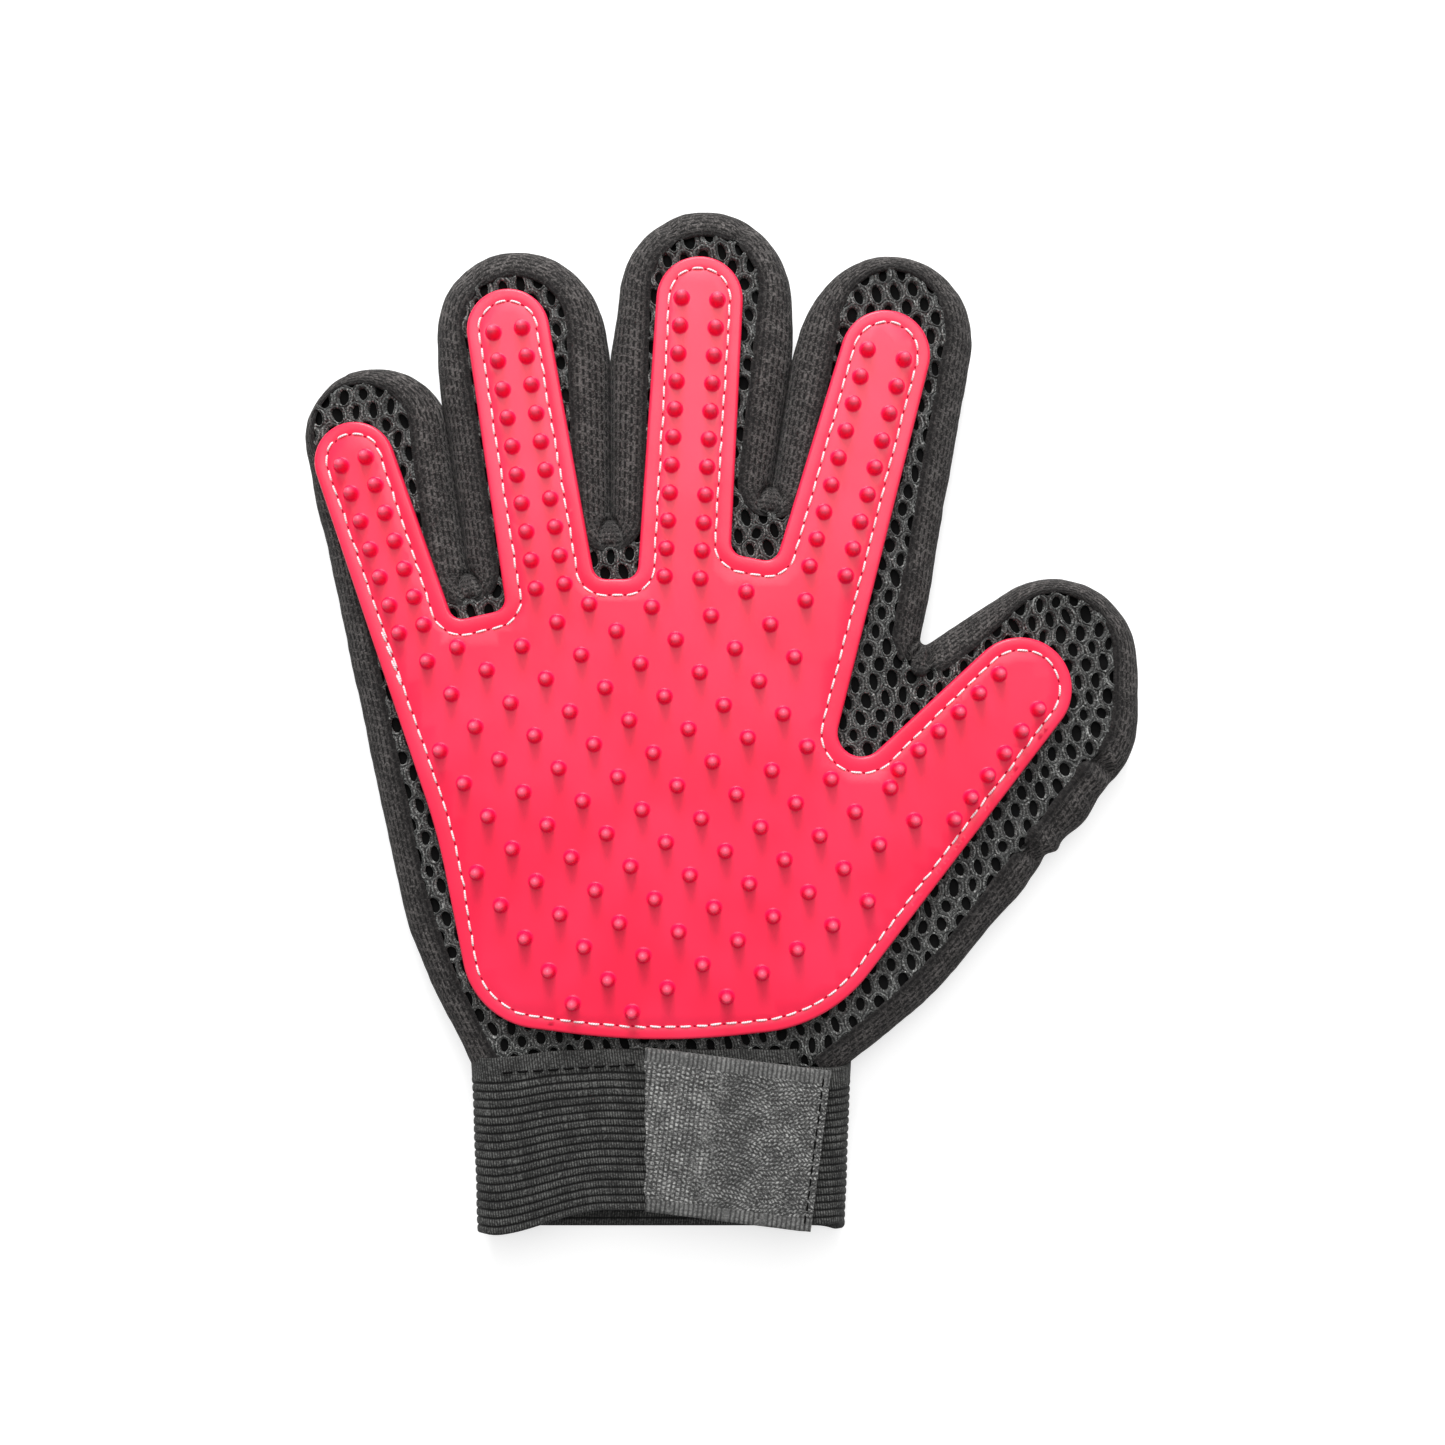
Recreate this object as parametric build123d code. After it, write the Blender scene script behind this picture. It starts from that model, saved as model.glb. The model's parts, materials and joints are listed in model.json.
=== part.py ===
from build123d import *

import os
from dataclasses import dataclass
from math import asin, atan2, cos, degrees, dist, hypot, pi, radians, sin

# Pet grooming glove, lying palm up. Millimetres, +Z up from the surface it lies on, +Y along the
# middle finger. The origin is under the middle of the palm, on the surface.
#
# The glove is drawn as two "belts": the fabric outline and the rubber pad's outline. A belt runs
# clockwise round a row of circles, outside the convex ones (fingertips, heels) and inside the
# hollow ones (crotches), so every corner is a tangent arc and every side a tangent line.

# ---------------------------------------------------------------- driving dimensions
FABRIC = 1.5                # thickness of the mesh panels and of the knit gusset
GLOVE_HEIGHT = 13.5         # back face to palm face of the fabric glove
PAD_THICKNESS = 2.0
PAD_EDGE_RADIUS = 0.7
NUB_HEIGHT = 3.6
NUB_BASE_RADIUS = 1.45
NUB_TIP_RADIUS = 1.0
NUB_CLEARANCE = 0.2         # least distance from a nub's foot to the pad's seam

THREAD = 0.45               # width of the sewing thread
THREAD_HEIGHT = 0.3
STITCH_INSET = 2.9          # pad's seam, inside the convex parts of its outline
STITCH_INSET_NOTCH = 3.6    # the same seam round the hollow corners between the fingers

WRIST_HALF_WIDTH = 43.5
WRIST_Y = -60.0             # where the glove's fabric meets the elastic cuff
CUFF_WIDTH = 40.0
ELASTIC = 1.6
STUB_LENGTH = 11.7          # from the cuff's side to the end of the elastic that comes round from the back
CUFF_SLIT = 1.0             # between that end and the cut end of the cuff's front layer

TAPE_THICKNESS = 1.4
TAPE_MARGIN = 3.7           # how much narrower the tape is than the cuff
TAPE_LENGTH = 36.5          # free flap, from its stitched end to its loose end, along the middle
TAPE_TAIL = 3.1             # the end that is sewn to the elastic
TAPE_TILT = 7.3             # degrees, clockwise
TAPE_CUT_SLANT = 4.7        # how far the loose end's cut leans across the tape's width
TAPE_INSET = 10.5           # from the cuff's side to the middle of the fold line, beside the tail's stitches
TAPE_RISE = 2.1             # from the cuff's middle up to the tape's
LOOP_THICKNESS = 0.8
LOOP_LENGTH = 28.0
LOOP_MARGIN = 11.3          # how much narrower the loop patch is than the tape
LOOP_INSET = 28.5           # from the cuff's side to the loop patch's middle
LOOP_RISE = 3.5             # from the cuff's middle up to the loop patch's
LOOP_CORNER_RADIUS = 1.0
SEAM_ALLOWANCE = 1.1        # from an edge to the thread that sews it down

CREASE_GAP = 0.3            # clearance between a finger's pieces and the palm's
WEB_HALF_WIDTH = 2.5        # half the width of the gusset left standing in each crotch

# ---------------------------------------------------------------- worked out from them
BULGE = GLOVE_HEIGHT / 2    # the gusset stands out half the height: its section is half a tube
PAD_TOP = GLOVE_HEIGHT + PAD_THICKNESS
STUB_END_X = WRIST_HALF_WIDTH - STUB_LENGTH
CUFF_END_X = STUB_END_X - CUFF_SLIT
CUFF_MIDDLE_Y = WRIST_Y - CUFF_WIDTH / 2
TAPE_WIDTH = CUFF_WIDTH - TAPE_MARGIN
LOOP_WIDTH = TAPE_WIDTH - LOOP_MARGIN
TAPE_BOTTOM = GLOVE_HEIGHT + LOOP_THICKNESS
TAPE_HINGE = (WRIST_HALF_WIDTH - TAPE_INSET, CUFF_MIDDLE_Y + TAPE_RISE)
LOOP_CENTRE = (WRIST_HALF_WIDTH - LOOP_INSET, CUFF_MIDDLE_Y + LOOP_RISE)
NUB_MARGIN = THREAD / 2 + NUB_CLEARANCE + NUB_BASE_RADIUS   # from the pad's seam to a nub's centre
FAR = 150.0                 # past the glove's edge, for cutting shapes


@dataclass(frozen=True)
class Pulley:
    """One circle that a belt runs round: side 1 where the belt passes outside it, -1 where inside."""
    x: float
    y: float
    radius: float
    side: int


@dataclass(frozen=True)
class Finger:
    """One finger: its lean to the right of +Y, its fabric tip, its pad strip and its nubs."""
    name: str
    lean: float             # degrees
    tip: tuple              # centre of the fabric fingertip's outline
    radius: float           # of the fabric fingertip's outline
    reach: float            # bending crease to the fingertip's centre
    pad_back: float         # pad tip's centre, behind the fabric's
    pad_side: float         # pad tip's centre, to the right of the fabric's
    pad_radius: float
    nub_count: int          # along each of the two columns
    nub_pitch: float
    nub_spacing: float      # between the two columns, at the tip
    nub_first: float        # first pair, behind the pad tip's centre
    nub_flare: float        # how much further apart each next pair stands, per column

    @property
    def along(self):
        return (sin(radians(self.lean)), cos(radians(self.lean)))

    @property
    def across(self):
        return (cos(radians(self.lean)), -sin(radians(self.lean)))

    def place(self, start, ahead, right):
        """The point ahead and to the right of start, in the finger's own directions."""
        (ux, uy), (vx, vy) = self.along, self.across
        return (start[0] + ahead * ux + right * vx, start[1] + ahead * uy + right * vy)

    def local(self, point):
        """How far a point lies ahead of the crease's middle, and to its right."""
        dx, dy = point[0] - self.crease[0], point[1] - self.crease[1]
        (ux, uy), (vx, vy) = self.along, self.across
        return dx * ux + dy * uy, dx * vx + dy * vy

    @property
    def crease(self):
        return self.place(self.tip, -self.reach, 0)

    @property
    def pad_tip(self):
        return self.place(self.tip, -self.pad_back, self.pad_side)


LITTLE = Finger("little", -19.0, (-65.3, 82.3), 15.9, 34.6, 4.9, -4.9, 8.95, 7, 6.6, 5.8, 0.0, 0.0)
RING = Finger("ring", -9.4, (-32.6, 106.6), 18.7, 42.8, 0.8, -1.5, 9.25, 10, 6.44, 6.5, 0.2, 0.0)
MIDDLE = Finger("middle", 3.5, (10.1, 115.0), 19.4, 43.1, 2.7, -1.0, 9.7, 11, 6.23, 8.0, 0.0, 0.0)
INDEX = Finger("index", 15.0, (52.2, 105.1), 19.0, 40.1, 5.4, -0.3, 10.05, 9, 6.26, 8.4, 0.0, 0.0)
THUMB = Finger("thumb", 41.8, (89.4, 32.4), 18.2, 21.5, 11.2, -1.7, 11.6, 6, 6.17, 11.7, 0.7, 0.5)
FINGERS = (LITTLE, RING, MIDDLE, INDEX, THUMB)

# The fabric's crotches, between one finger and the next
CROTCHES = {
    "little_ring": Pulley(-44.1, 51.8, 0.7, -1),
    "ring_middle": Pulley(-11.5, 64.0, 0.7, -1),
    "middle_index": Pulley(25.4, 71.5, 0.7, -1),
    "index_thumb": Pulley(60.5, 36.7, 1.0, -1),
}
HEEL_RADIUS = 130.0                             # the long curves down both sides of the palm
HEEL_SLANTS = {-1: 26.8, 1: 52.3}               # degrees the outline leans out as it leaves the wrist
HEEL_RUNS = {-1: 13.6, 1: 8.1}                  # its straight run before the long curve
THUMB_ROOT = Pulley(88.7, 19.8, 19.8, 1)
WRIST_TAIL = 30.0                               # how far the outline runs on, to be cut square

# The pad's notches between the fingers, each with its two corners, and its palm end
PAD_NOTCHES = (
    (Pulley(-44.3, 44.0, 3.1, -1), Pulley(-37.6, 45.3, 2.9, -1)),
    (Pulley(-11.95, 52.9, 3.1, -1), Pulley(-7.9, 52.9, 3.1, -1)),
    (Pulley(19.1, 58.0, 3.1, -1), Pulley(23.8, 57.1, 3.1, -1)),
    (Pulley(45.2, 15.4, 5.35, -1),),
)
PAD_HEEL = (Pulley(20.0, -18.1, 33.7, 1), Pulley(0.5, 103.3, 156.5, 1), Pulley(-26.1, -32.7, 18.2, 1))
PAD_LITTLE_SIDE = Pulley(-175.1, -40.7, 129.5, -1)

# The palm's nubs stand on a slanted grid. Each row gives its first and last place on the grid.
NUB_GRID_ORIGIN = (-56.9, 6.1)
NUB_GRID_DOWN = (5.36, -7.30)
NUB_GRID_ACROSS = (7.88, 5.35)
NUB_ROWS = ((3, 7), (0, 8), (-2, 8), (-1, 9), (-1, 9), (-1, 9), (0, 9), (0, 9), (1, 8), (1, 3), (2, 2))
NUB_THUMB_ROW = (9, (7, 8))                     # two more on row 9, past the thumb's notch
NUB_STRAYS = ((-45.2, 34.5), (-15.7, 44.2))     # two that stand off the grid, below the notches


# ---------------------------------------------------------------- belts
def belt(circles, inset=0.0, notch_inset=None):
    """The open belt's tangent lines and arcs, in order, moved inwards by the inset."""
    hollow = inset if notch_inset is None else notch_inset
    signed = [c.side * c.radius - (inset if c.side > 0 else hollow) for c in circles]
    headings = []
    for (a, ra), (b, rb) in zip(zip(circles, signed), zip(circles[1:], signed[1:])):
        dx, dy = b.x - a.x, b.y - a.y
        headings.append(atan2(dy, dx) - asin((ra - rb) / hypot(dx, dy)))
    pieces = []
    for i, heading in enumerate(headings):
        a, b = circles[i], circles[i + 1]
        out = (-sin(heading), cos(heading))
        start = (a.x + signed[i] * out[0], a.y + signed[i] * out[1])
        end = (b.x + signed[i + 1] * out[0], b.y + signed[i + 1] * out[1])
        pieces.append(("line", start, end, heading))
        if i + 1 < len(headings):
            turn = (heading - headings[i + 1]) % (2 * pi)
            if b.side < 0:
                turn -= 2 * pi
            pieces.append(("arc", (b.x, b.y), signed[i + 1], heading, turn))
    return pieces


def belt_edges(pieces):
    """The belt's pieces as edges."""
    edges = []
    for piece in pieces:
        if piece[0] == "line":
            edges.append(Edge.make_line((*piece[1], 0), (*piece[2], 0)))
        else:
            (cx, cy), radius, heading, turn = piece[1:]
            points = [
                (cx - radius * sin(heading - turn * t), cy + radius * cos(heading - turn * t), 0)
                for t in (0, 0.5, 1)
            ]
            edges.append(Edge.make_three_point_arc(*points))
    return edges


def heel(side):
    """The long curve's circle on the little finger's side, -1, or the thumb's, 1."""
    slant, run = radians(HEEL_SLANTS[side]), HEEL_RUNS[side]
    x = side * (WRIST_HALF_WIDTH + run * sin(slant) - HEEL_RADIUS * cos(slant))
    return Pulley(x, WRIST_Y + run * cos(slant) + HEEL_RADIUS * sin(slant), HEEL_RADIUS, 1)


def wrist_end(side):
    """A point of the outline below the wrist, on the straight run through the wrist's corner."""
    slant = radians(HEEL_SLANTS[side])
    x = side * (WRIST_HALF_WIDTH - WRIST_TAIL * sin(slant))
    return Pulley(x, WRIST_Y - WRIST_TAIL * cos(slant), 0.0, 1)


def fabric_circles():
    """The fabric outline's circles, from the little finger's side of the wrist to the thumb's."""
    tips = [Pulley(*f.tip, f.radius, 1) for f in FINGERS]
    fingers = [c for pair in zip(tips, CROTCHES.values()) for c in pair] + [tips[-1]]
    return [wrist_end(-1), heel(-1), *fingers, THUMB_ROOT, heel(1), wrist_end(1)]


def fabric_face(inset):
    """The fabric's outline moved inwards, closed below the wrist."""
    edges = belt_edges(belt(fabric_circles(), inset))
    edges.append(Edge.make_line(edges[-1] @ 1, edges[0] @ 0))
    return Face(Wire(edges))


def pad_face(inset=0.0, notch_inset=None):
    """The pad's outline, moved inwards. Its belt ends on the line that it starts with."""
    circles = []
    for finger, notch in zip(FINGERS, (*PAD_NOTCHES, ())):
        circles += [Pulley(*finger.pad_tip, finger.pad_radius, 1), *notch]
    circles += [*PAD_HEEL, PAD_LITTLE_SIDE]
    pieces = belt(circles + circles[:2], inset, notch_inset)
    return Face(Wire(belt_edges(pieces[:-1])))


# ---------------------------------------------------------------- bending creases
def facing_point(left, right):
    """The middle of the gap between two neighbouring fingertips."""
    (ax, ay), (bx, by) = left.tip, right.tip
    apart = hypot(bx - ax, by - ay)
    share = (left.radius + (apart - left.radius - right.radius) / 2) / apart
    return (ax + (bx - ax) * share, ay + (by - ay) * share)


def zone_side(finger, crotch, between, side, gap):
    """One side of a finger's zone, from its crease outwards, as (ahead, right) points."""
    if crotch is None:
        return [(gap, side * FAR / 2), (FAR, side * FAR / 2)]
    ahead, right = finger.local((crotch.x, crotch.y))
    far_ahead, far_right = finger.local(between)
    grow = (far_right - right) / (far_ahead - ahead)
    outer = (FAR, right + grow * (FAR - ahead))
    if ahead <= 0:
        return [(gap, right + grow * (gap - ahead)), outer]
    web = right - side * (WEB_HALF_WIDTH + gap)
    return [(gap, web), (ahead + gap, web), (ahead + gap, right + grow * gap), outer]


def zone(finger, gap=0.0):
    """The upright prism that holds all of one finger beyond its crease, moved in by the gap."""
    i = FINGERS.index(finger)
    crotches = [None, *CROTCHES.values(), None]
    sides = []
    for side, crotch in ((-1, crotches[i]), (1, crotches[i + 1])):
        pair = (FINGERS[i - 1], finger) if side < 0 else (finger, FINGERS[(i + 1) % len(FINGERS)])
        sides.append(zone_side(finger, crotch, facing_point(*pair), side, gap))
    outline = sides[0][::-1] + sides[1]
    points = [(*finger.place(finger.crease, *p), -GLOVE_HEIGHT) for p in outline]
    return extrude(Face(Wire.make_polygon(points, close=True)), 4 * GLOVE_HEIGHT, dir=(0, 0, 1))


ZONES = {f.name: zone(f, CREASE_GAP) for f in FINGERS}
CREASES = [zone(f) for f in FINGERS]


def palm_share(shape):
    """What is left of a shape for the palm, behind every finger's crease."""
    for crease in CREASES:
        shape = shape - crease
    return shape


def beyond_wrist(shape):
    """The shape cut off square at the wrist."""
    keep = Pos(0, WRIST_Y + FAR, 0) * Box(4 * FAR, 2 * FAR, 2 * FAR)
    return shape & keep


def solids_of(shape):
    """The shape's solids, the largest first."""
    return sorted(shape.solids(), key=lambda solid: -solid.volume)


def one_part(shape):
    """The shape's largest solid, without slivers."""
    return solids_of(shape)[0]


# ---------------------------------------------------------------- fabric
def panel(bottom):
    """A flat mesh panel inside the gusset's seams, before it is cut at the creases."""
    face = fabric_face(BULGE)
    return beyond_wrist(Pos(0, 0, bottom) * extrude(face, FABRIC, dir=(0, 0, 1)))


def gusset_section(origin, out, heading):
    """The gusset's section, half a tube that stands out from its seam at the origin."""
    plane = Plane(origin=(*origin, BULGE), x_dir=(*out, 0), z_dir=(*heading, 0))
    ring = Circle(BULGE) - Circle(BULGE - FABRIC)
    half = Pos(BULGE / 2, 0) * Rectangle(BULGE, GLOVE_HEIGHT)
    return plane * (ring & half)


def gusset():
    """The whole knit gusset: its section carried along the fabric outline."""
    tubes = []
    for piece in belt(fabric_circles(), BULGE):
        if piece[0] == "line":
            start, end, angle = piece[1:]
        else:
            (cx, cy), radius, angle, turn = piece[1:]
            start = (cx - radius * sin(angle), cy + radius * cos(angle))
        heading = (cos(angle), sin(angle))
        section = gusset_section(start, (-heading[1], heading[0]), heading)
        if piece[0] == "line":
            tubes.append(extrude(section, dist(start, end), dir=(*heading, 0)))
        else:
            axis = Axis((cx, cy, 0), (0, 0, -1 if turn > 0 else 1))
            tubes.append(revolve(section, axis, abs(degrees(turn))))
    return beyond_wrist(tubes[0].fuse(*tubes[1:]).clean())


# ---------------------------------------------------------------- pad
def nub_places():
    """Every nub's centre: two columns along each finger, and the palm's slanted grid."""
    places = []
    for f in FINGERS:
        for n in range(f.nub_count):
            half = f.nub_spacing / 2 + f.nub_flare * n
            behind = f.nub_first + f.nub_pitch * n
            places += [f.place(f.pad_tip, -behind, side * half) for side in (-1, 1)]
    rows = [*enumerate(NUB_ROWS), NUB_THUMB_ROW]
    for row, (first, last) in rows:
        for n in range(first, last + 1):
            x = NUB_GRID_ORIGIN[0] + NUB_GRID_DOWN[0] * n + NUB_GRID_ACROSS[0] * row
            y = NUB_GRID_ORIGIN[1] + NUB_GRID_DOWN[1] * n + NUB_GRID_ACROSS[1] * row
            places.append((x, y))
    return places + list(NUB_STRAYS)


def nub():
    """One nub: a tapered peg with a domed tip, standing on the pad's face."""
    shoulder = NUB_HEIGHT - NUB_TIP_RADIUS
    outline = Polyline((0, 0), (NUB_BASE_RADIUS, 0), (NUB_TIP_RADIUS, shoulder))
    dome = ThreePointArc(
        (NUB_TIP_RADIUS, shoulder),
        (NUB_TIP_RADIUS * cos(pi / 4), shoulder + NUB_TIP_RADIUS * sin(pi / 4)),
        (0, NUB_HEIGHT),
    )
    half = Plane.XZ * make_face([*outline.edges(), *dome.edges(), Line((0, NUB_HEIGHT), (0, 0)).edge()])
    return revolve(half, Axis.Z)


def pad():
    """The moulded rubber pad with its nubs, before it is cut at the creases."""
    plate = Pos(0, 0, GLOVE_HEIGHT) * extrude(pad_face(), PAD_THICKNESS, dir=(0, 0, 1))
    top = plate.faces().sort_by(Axis.Z)[-1]
    plate = fillet(top.edges(), PAD_EDGE_RADIUS)
    inside = pad_face(STITCH_INSET + NUB_MARGIN, STITCH_INSET_NOTCH + NUB_MARGIN)
    peg = nub()
    pegs = [
        Pos(x, y, PAD_TOP) * peg
        for x, y in nub_places()
        if inside.is_inside((x, y, 0))
    ]
    return plate.fuse(*pegs)


def pad_stitching():
    """The thread that sews the pad down, as one strand on its face inside the edge."""
    outer = pad_face(STITCH_INSET - THREAD / 2, STITCH_INSET_NOTCH - THREAD / 2)
    inner = pad_face(STITCH_INSET + THREAD / 2, STITCH_INSET_NOTCH + THREAD / 2)
    return Pos(0, 0, PAD_TOP) * extrude(outer - inner, THREAD_HEIGHT, dir=(0, 0, 1))


# ---------------------------------------------------------------- cuff and strap
def cuff():
    """The elastic cuff, one strip wound once round the wrist, with its two ends in front."""
    outer = SlotOverall(2 * WRIST_HALF_WIDTH, GLOVE_HEIGHT)
    inner = SlotOverall(2 * (WRIST_HALF_WIDTH - ELASTIC), GLOVE_HEIGHT - 2 * ELASTIC)
    slit = Rectangle(STUB_END_X - CUFF_END_X, GLOVE_HEIGHT)
    wall = Pos(0, BULGE) * (outer - inner) - Pos((CUFF_END_X + STUB_END_X) / 2, GLOVE_HEIGHT) * slit
    section = Plane.XZ.offset(-WRIST_Y) * wall
    return extrude(section, CUFF_WIDTH, dir=(0, -1, 0))


def cuff_stitching():
    """The thread along the cuff's top edge in front, where the glove's fabric is sewn to it."""
    start = BULGE - WRIST_HALF_WIDTH
    run = Box(CUFF_END_X - start, THREAD, THREAD_HEIGHT, align=(Align.MIN, Align.CENTER, Align.MIN))
    return Pos(start, WRIST_Y - SEAM_ALLOWANCE, GLOVE_HEIGHT) * run


def loop_patch():
    """The soft loop patch on the cuff's front that the hook tape grips, up to its sunk thread."""
    outline = RectangleRounded(LOOP_LENGTH, LOOP_WIDTH, LOOP_CORNER_RADIUS)
    return Pos(*LOOP_CENTRE, GLOVE_HEIGHT) * extrude(outline, LOOP_THICKNESS - THREAD_HEIGHT)


def loop_patch_stitching():
    """The rectangle of thread that sews the loop patch down, under the tape."""
    length, width = LOOP_LENGTH - 2 * SEAM_ALLOWANCE, LOOP_WIDTH - 2 * SEAM_ALLOWANCE
    outline = Rectangle(length + THREAD, width + THREAD) - Rectangle(length - THREAD, width - THREAD)
    return Pos(*LOOP_CENTRE, TAPE_BOTTOM - THREAD_HEIGHT) * extrude(outline, THREAD_HEIGHT)


def on_tape(shape):
    """Put a shape drawn with the tape's free end towards -X and its fold line on Y in its place."""
    return Pos(*TAPE_HINGE, 0) * Rot(0, 0, -TAPE_TILT) * shape


def hook_tape():
    """The free flap of hook tape, with its loose end cut on a slant."""
    half, lean = TAPE_WIDTH / 2, TAPE_CUT_SLANT / 2
    gap = CREASE_GAP / 2
    corners = [(-gap, -half), (-gap, half), (-TAPE_LENGTH - lean, half), (-TAPE_LENGTH + lean, -half)]
    face = Face(Wire.make_polygon([(*c, TAPE_BOTTOM) for c in corners], close=True))
    return on_tape(extrude(face, TAPE_THICKNESS, dir=(0, 0, 1)))


def hook_tape_tail():
    """The tape's sewn end, flat on the elastic that comes round from the back."""
    gap = CREASE_GAP / 2
    block = Box(TAPE_TAIL - gap, TAPE_WIDTH, TAPE_THICKNESS, align=(Align.MIN, Align.CENTER, Align.MIN))
    return on_tape(Pos(gap, 0, GLOVE_HEIGHT) * block)


def tail_stitching():
    """The row of thread along the tape's tail."""
    run = TAPE_WIDTH - 2 * SEAM_ALLOWANCE
    row = Box(THREAD, run, THREAD_HEIGHT, align=(Align.CENTER, Align.CENTER, Align.MIN))
    return on_tape(Pos(TAPE_TAIL / 2, 0, GLOVE_HEIGHT + TAPE_THICKNESS) * row)


# ---------------------------------------------------------------- the assembly
PALM_GUSSETS = ("little_side", "little_ring_web", "ring_middle_web", "middle_index_web",
                "index_thumb_web", "thumb_side")

parts = {}
layers = {
    "pad": pad(),
    "palm_mesh": panel(GLOVE_HEIGHT - FABRIC),
    "back_mesh": panel(0),
    "gusset": gusset(),
    "pad_stitching": pad_stitching(),
}
for kind, layer in layers.items():
    for finger in FINGERS:
        piece = layer & ZONES[finger.name]
        if kind != "pad_stitching":
            piece = one_part(piece)
        parts[f"{finger.name}_{kind}"] = piece

parts["palm_pad"] = one_part(palm_share(layers["pad"]))
parts["palm_mesh_panel"] = one_part(palm_share(layers["palm_mesh"]))
parts["back_mesh_panel"] = one_part(palm_share(layers["back_mesh"]))
parts["palm_pad_stitching"] = palm_share(layers["pad_stitching"])
palm_gussets = solids_of(palm_share(layers["gusset"]))[:len(PALM_GUSSETS)]
for name, solid in zip(PALM_GUSSETS, sorted(palm_gussets, key=lambda s: s.center().X)):
    parts[f"{name}_gusset" if name.endswith("side") else name] = solid

parts["cuff_elastic"] = cuff()
parts["cuff_stitching"] = cuff_stitching()
parts["loop_patch"] = loop_patch()
parts["loop_patch_stitching"] = loop_patch_stitching()
parts["hook_tape"] = hook_tape()
parts["hook_tape_tail"] = hook_tape_tail()
parts["tail_stitching"] = tail_stitching()

os.makedirs("parts", exist_ok=True)
for name, shape in parts.items():
    export_step(shape, f"parts/{name}.step")
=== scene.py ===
import json
import logging
import math
from dataclasses import dataclass
from enum import Enum
from typing import Callable, Sequence

import bpy
import numpy as np
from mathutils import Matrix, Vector
from mathutils.geometry import delaunay_2d_cdt
from mathutils.kdtree import KDTree


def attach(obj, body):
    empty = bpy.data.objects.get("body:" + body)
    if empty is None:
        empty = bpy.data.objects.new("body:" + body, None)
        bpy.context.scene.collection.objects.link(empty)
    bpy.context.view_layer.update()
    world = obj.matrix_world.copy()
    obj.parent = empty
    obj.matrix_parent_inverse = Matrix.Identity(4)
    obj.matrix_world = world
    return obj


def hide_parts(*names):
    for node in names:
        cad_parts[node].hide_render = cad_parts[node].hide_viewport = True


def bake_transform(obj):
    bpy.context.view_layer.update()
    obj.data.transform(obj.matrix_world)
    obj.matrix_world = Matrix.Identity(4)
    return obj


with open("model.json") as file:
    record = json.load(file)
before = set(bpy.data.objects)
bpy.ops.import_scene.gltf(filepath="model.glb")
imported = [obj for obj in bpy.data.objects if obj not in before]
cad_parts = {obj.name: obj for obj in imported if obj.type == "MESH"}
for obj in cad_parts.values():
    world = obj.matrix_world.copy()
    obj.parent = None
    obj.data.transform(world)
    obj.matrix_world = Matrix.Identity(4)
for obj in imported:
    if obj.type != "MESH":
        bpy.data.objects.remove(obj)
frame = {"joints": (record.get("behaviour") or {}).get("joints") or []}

# Pet grooming glove, lying palm up: the visual model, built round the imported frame. Every drawing
# is in millimetres, +Z up, +Y along the middle finger. A piece turns to metres when its mesh is made.

LOG = logging.getLogger("grooming_glove")
MM = 0.001
TAU = 2 * math.pi
UP = np.array((0.0, 0.0, 1.0))
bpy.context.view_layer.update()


# ---------------------------------------------------------------- plan geometry
def turned(plan: np.ndarray, angle: float) -> np.ndarray:
    """Plan points or directions turned anticlockwise about the origin, by an angle in radians."""
    c, s = math.cos(angle), math.sin(angle)
    x, y = plan[..., 0], plan[..., 1]
    return np.stack([x * c - y * s, x * s + y * c], -1)


def left_of(heading: np.ndarray) -> np.ndarray:
    """The directions a quarter turn to the left."""
    return np.stack([-heading[..., 1], heading[..., 0]], -1)


def circle(sides: int) -> np.ndarray:
    """Points at even steps round a circle of radius 1."""
    angle = np.arange(sides) * TAU / sides
    return np.stack([np.cos(angle), np.sin(angle)], 1)


def travelled(points: np.ndarray) -> np.ndarray:
    """The distance along a row of plan points, from its first to each."""
    return np.concatenate([[0], np.cumsum(np.hypot(*np.diff(points, axis=0).T))])


@dataclass(frozen=True)
class Pulley:
    """One circle that an outline runs round: side 1 where it passes outside it, -1 where inside."""

    x: float
    y: float
    radius: float
    side: int


@dataclass(frozen=True)
class Outline:
    """Points along an outline, each with its outward direction and its distance along."""

    points: np.ndarray
    out: np.ndarray
    run: np.ndarray

    def moved(self, inset: float) -> np.ndarray:
        """The points, moved inwards."""
        return self.points - inset * self.out

    def nearest_run(self, x: float, y: float) -> float:
        """The distance along of the point that lies nearest to a place."""
        return float(self.run[np.argmin(np.hypot(*(self.points - (x, y)).T))])

    @property
    def girth(self) -> float:
        """The whole length of a closed outline."""
        return self.run[-1] + float(np.hypot(*(self.points[0] - self.points[-1])))


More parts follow.
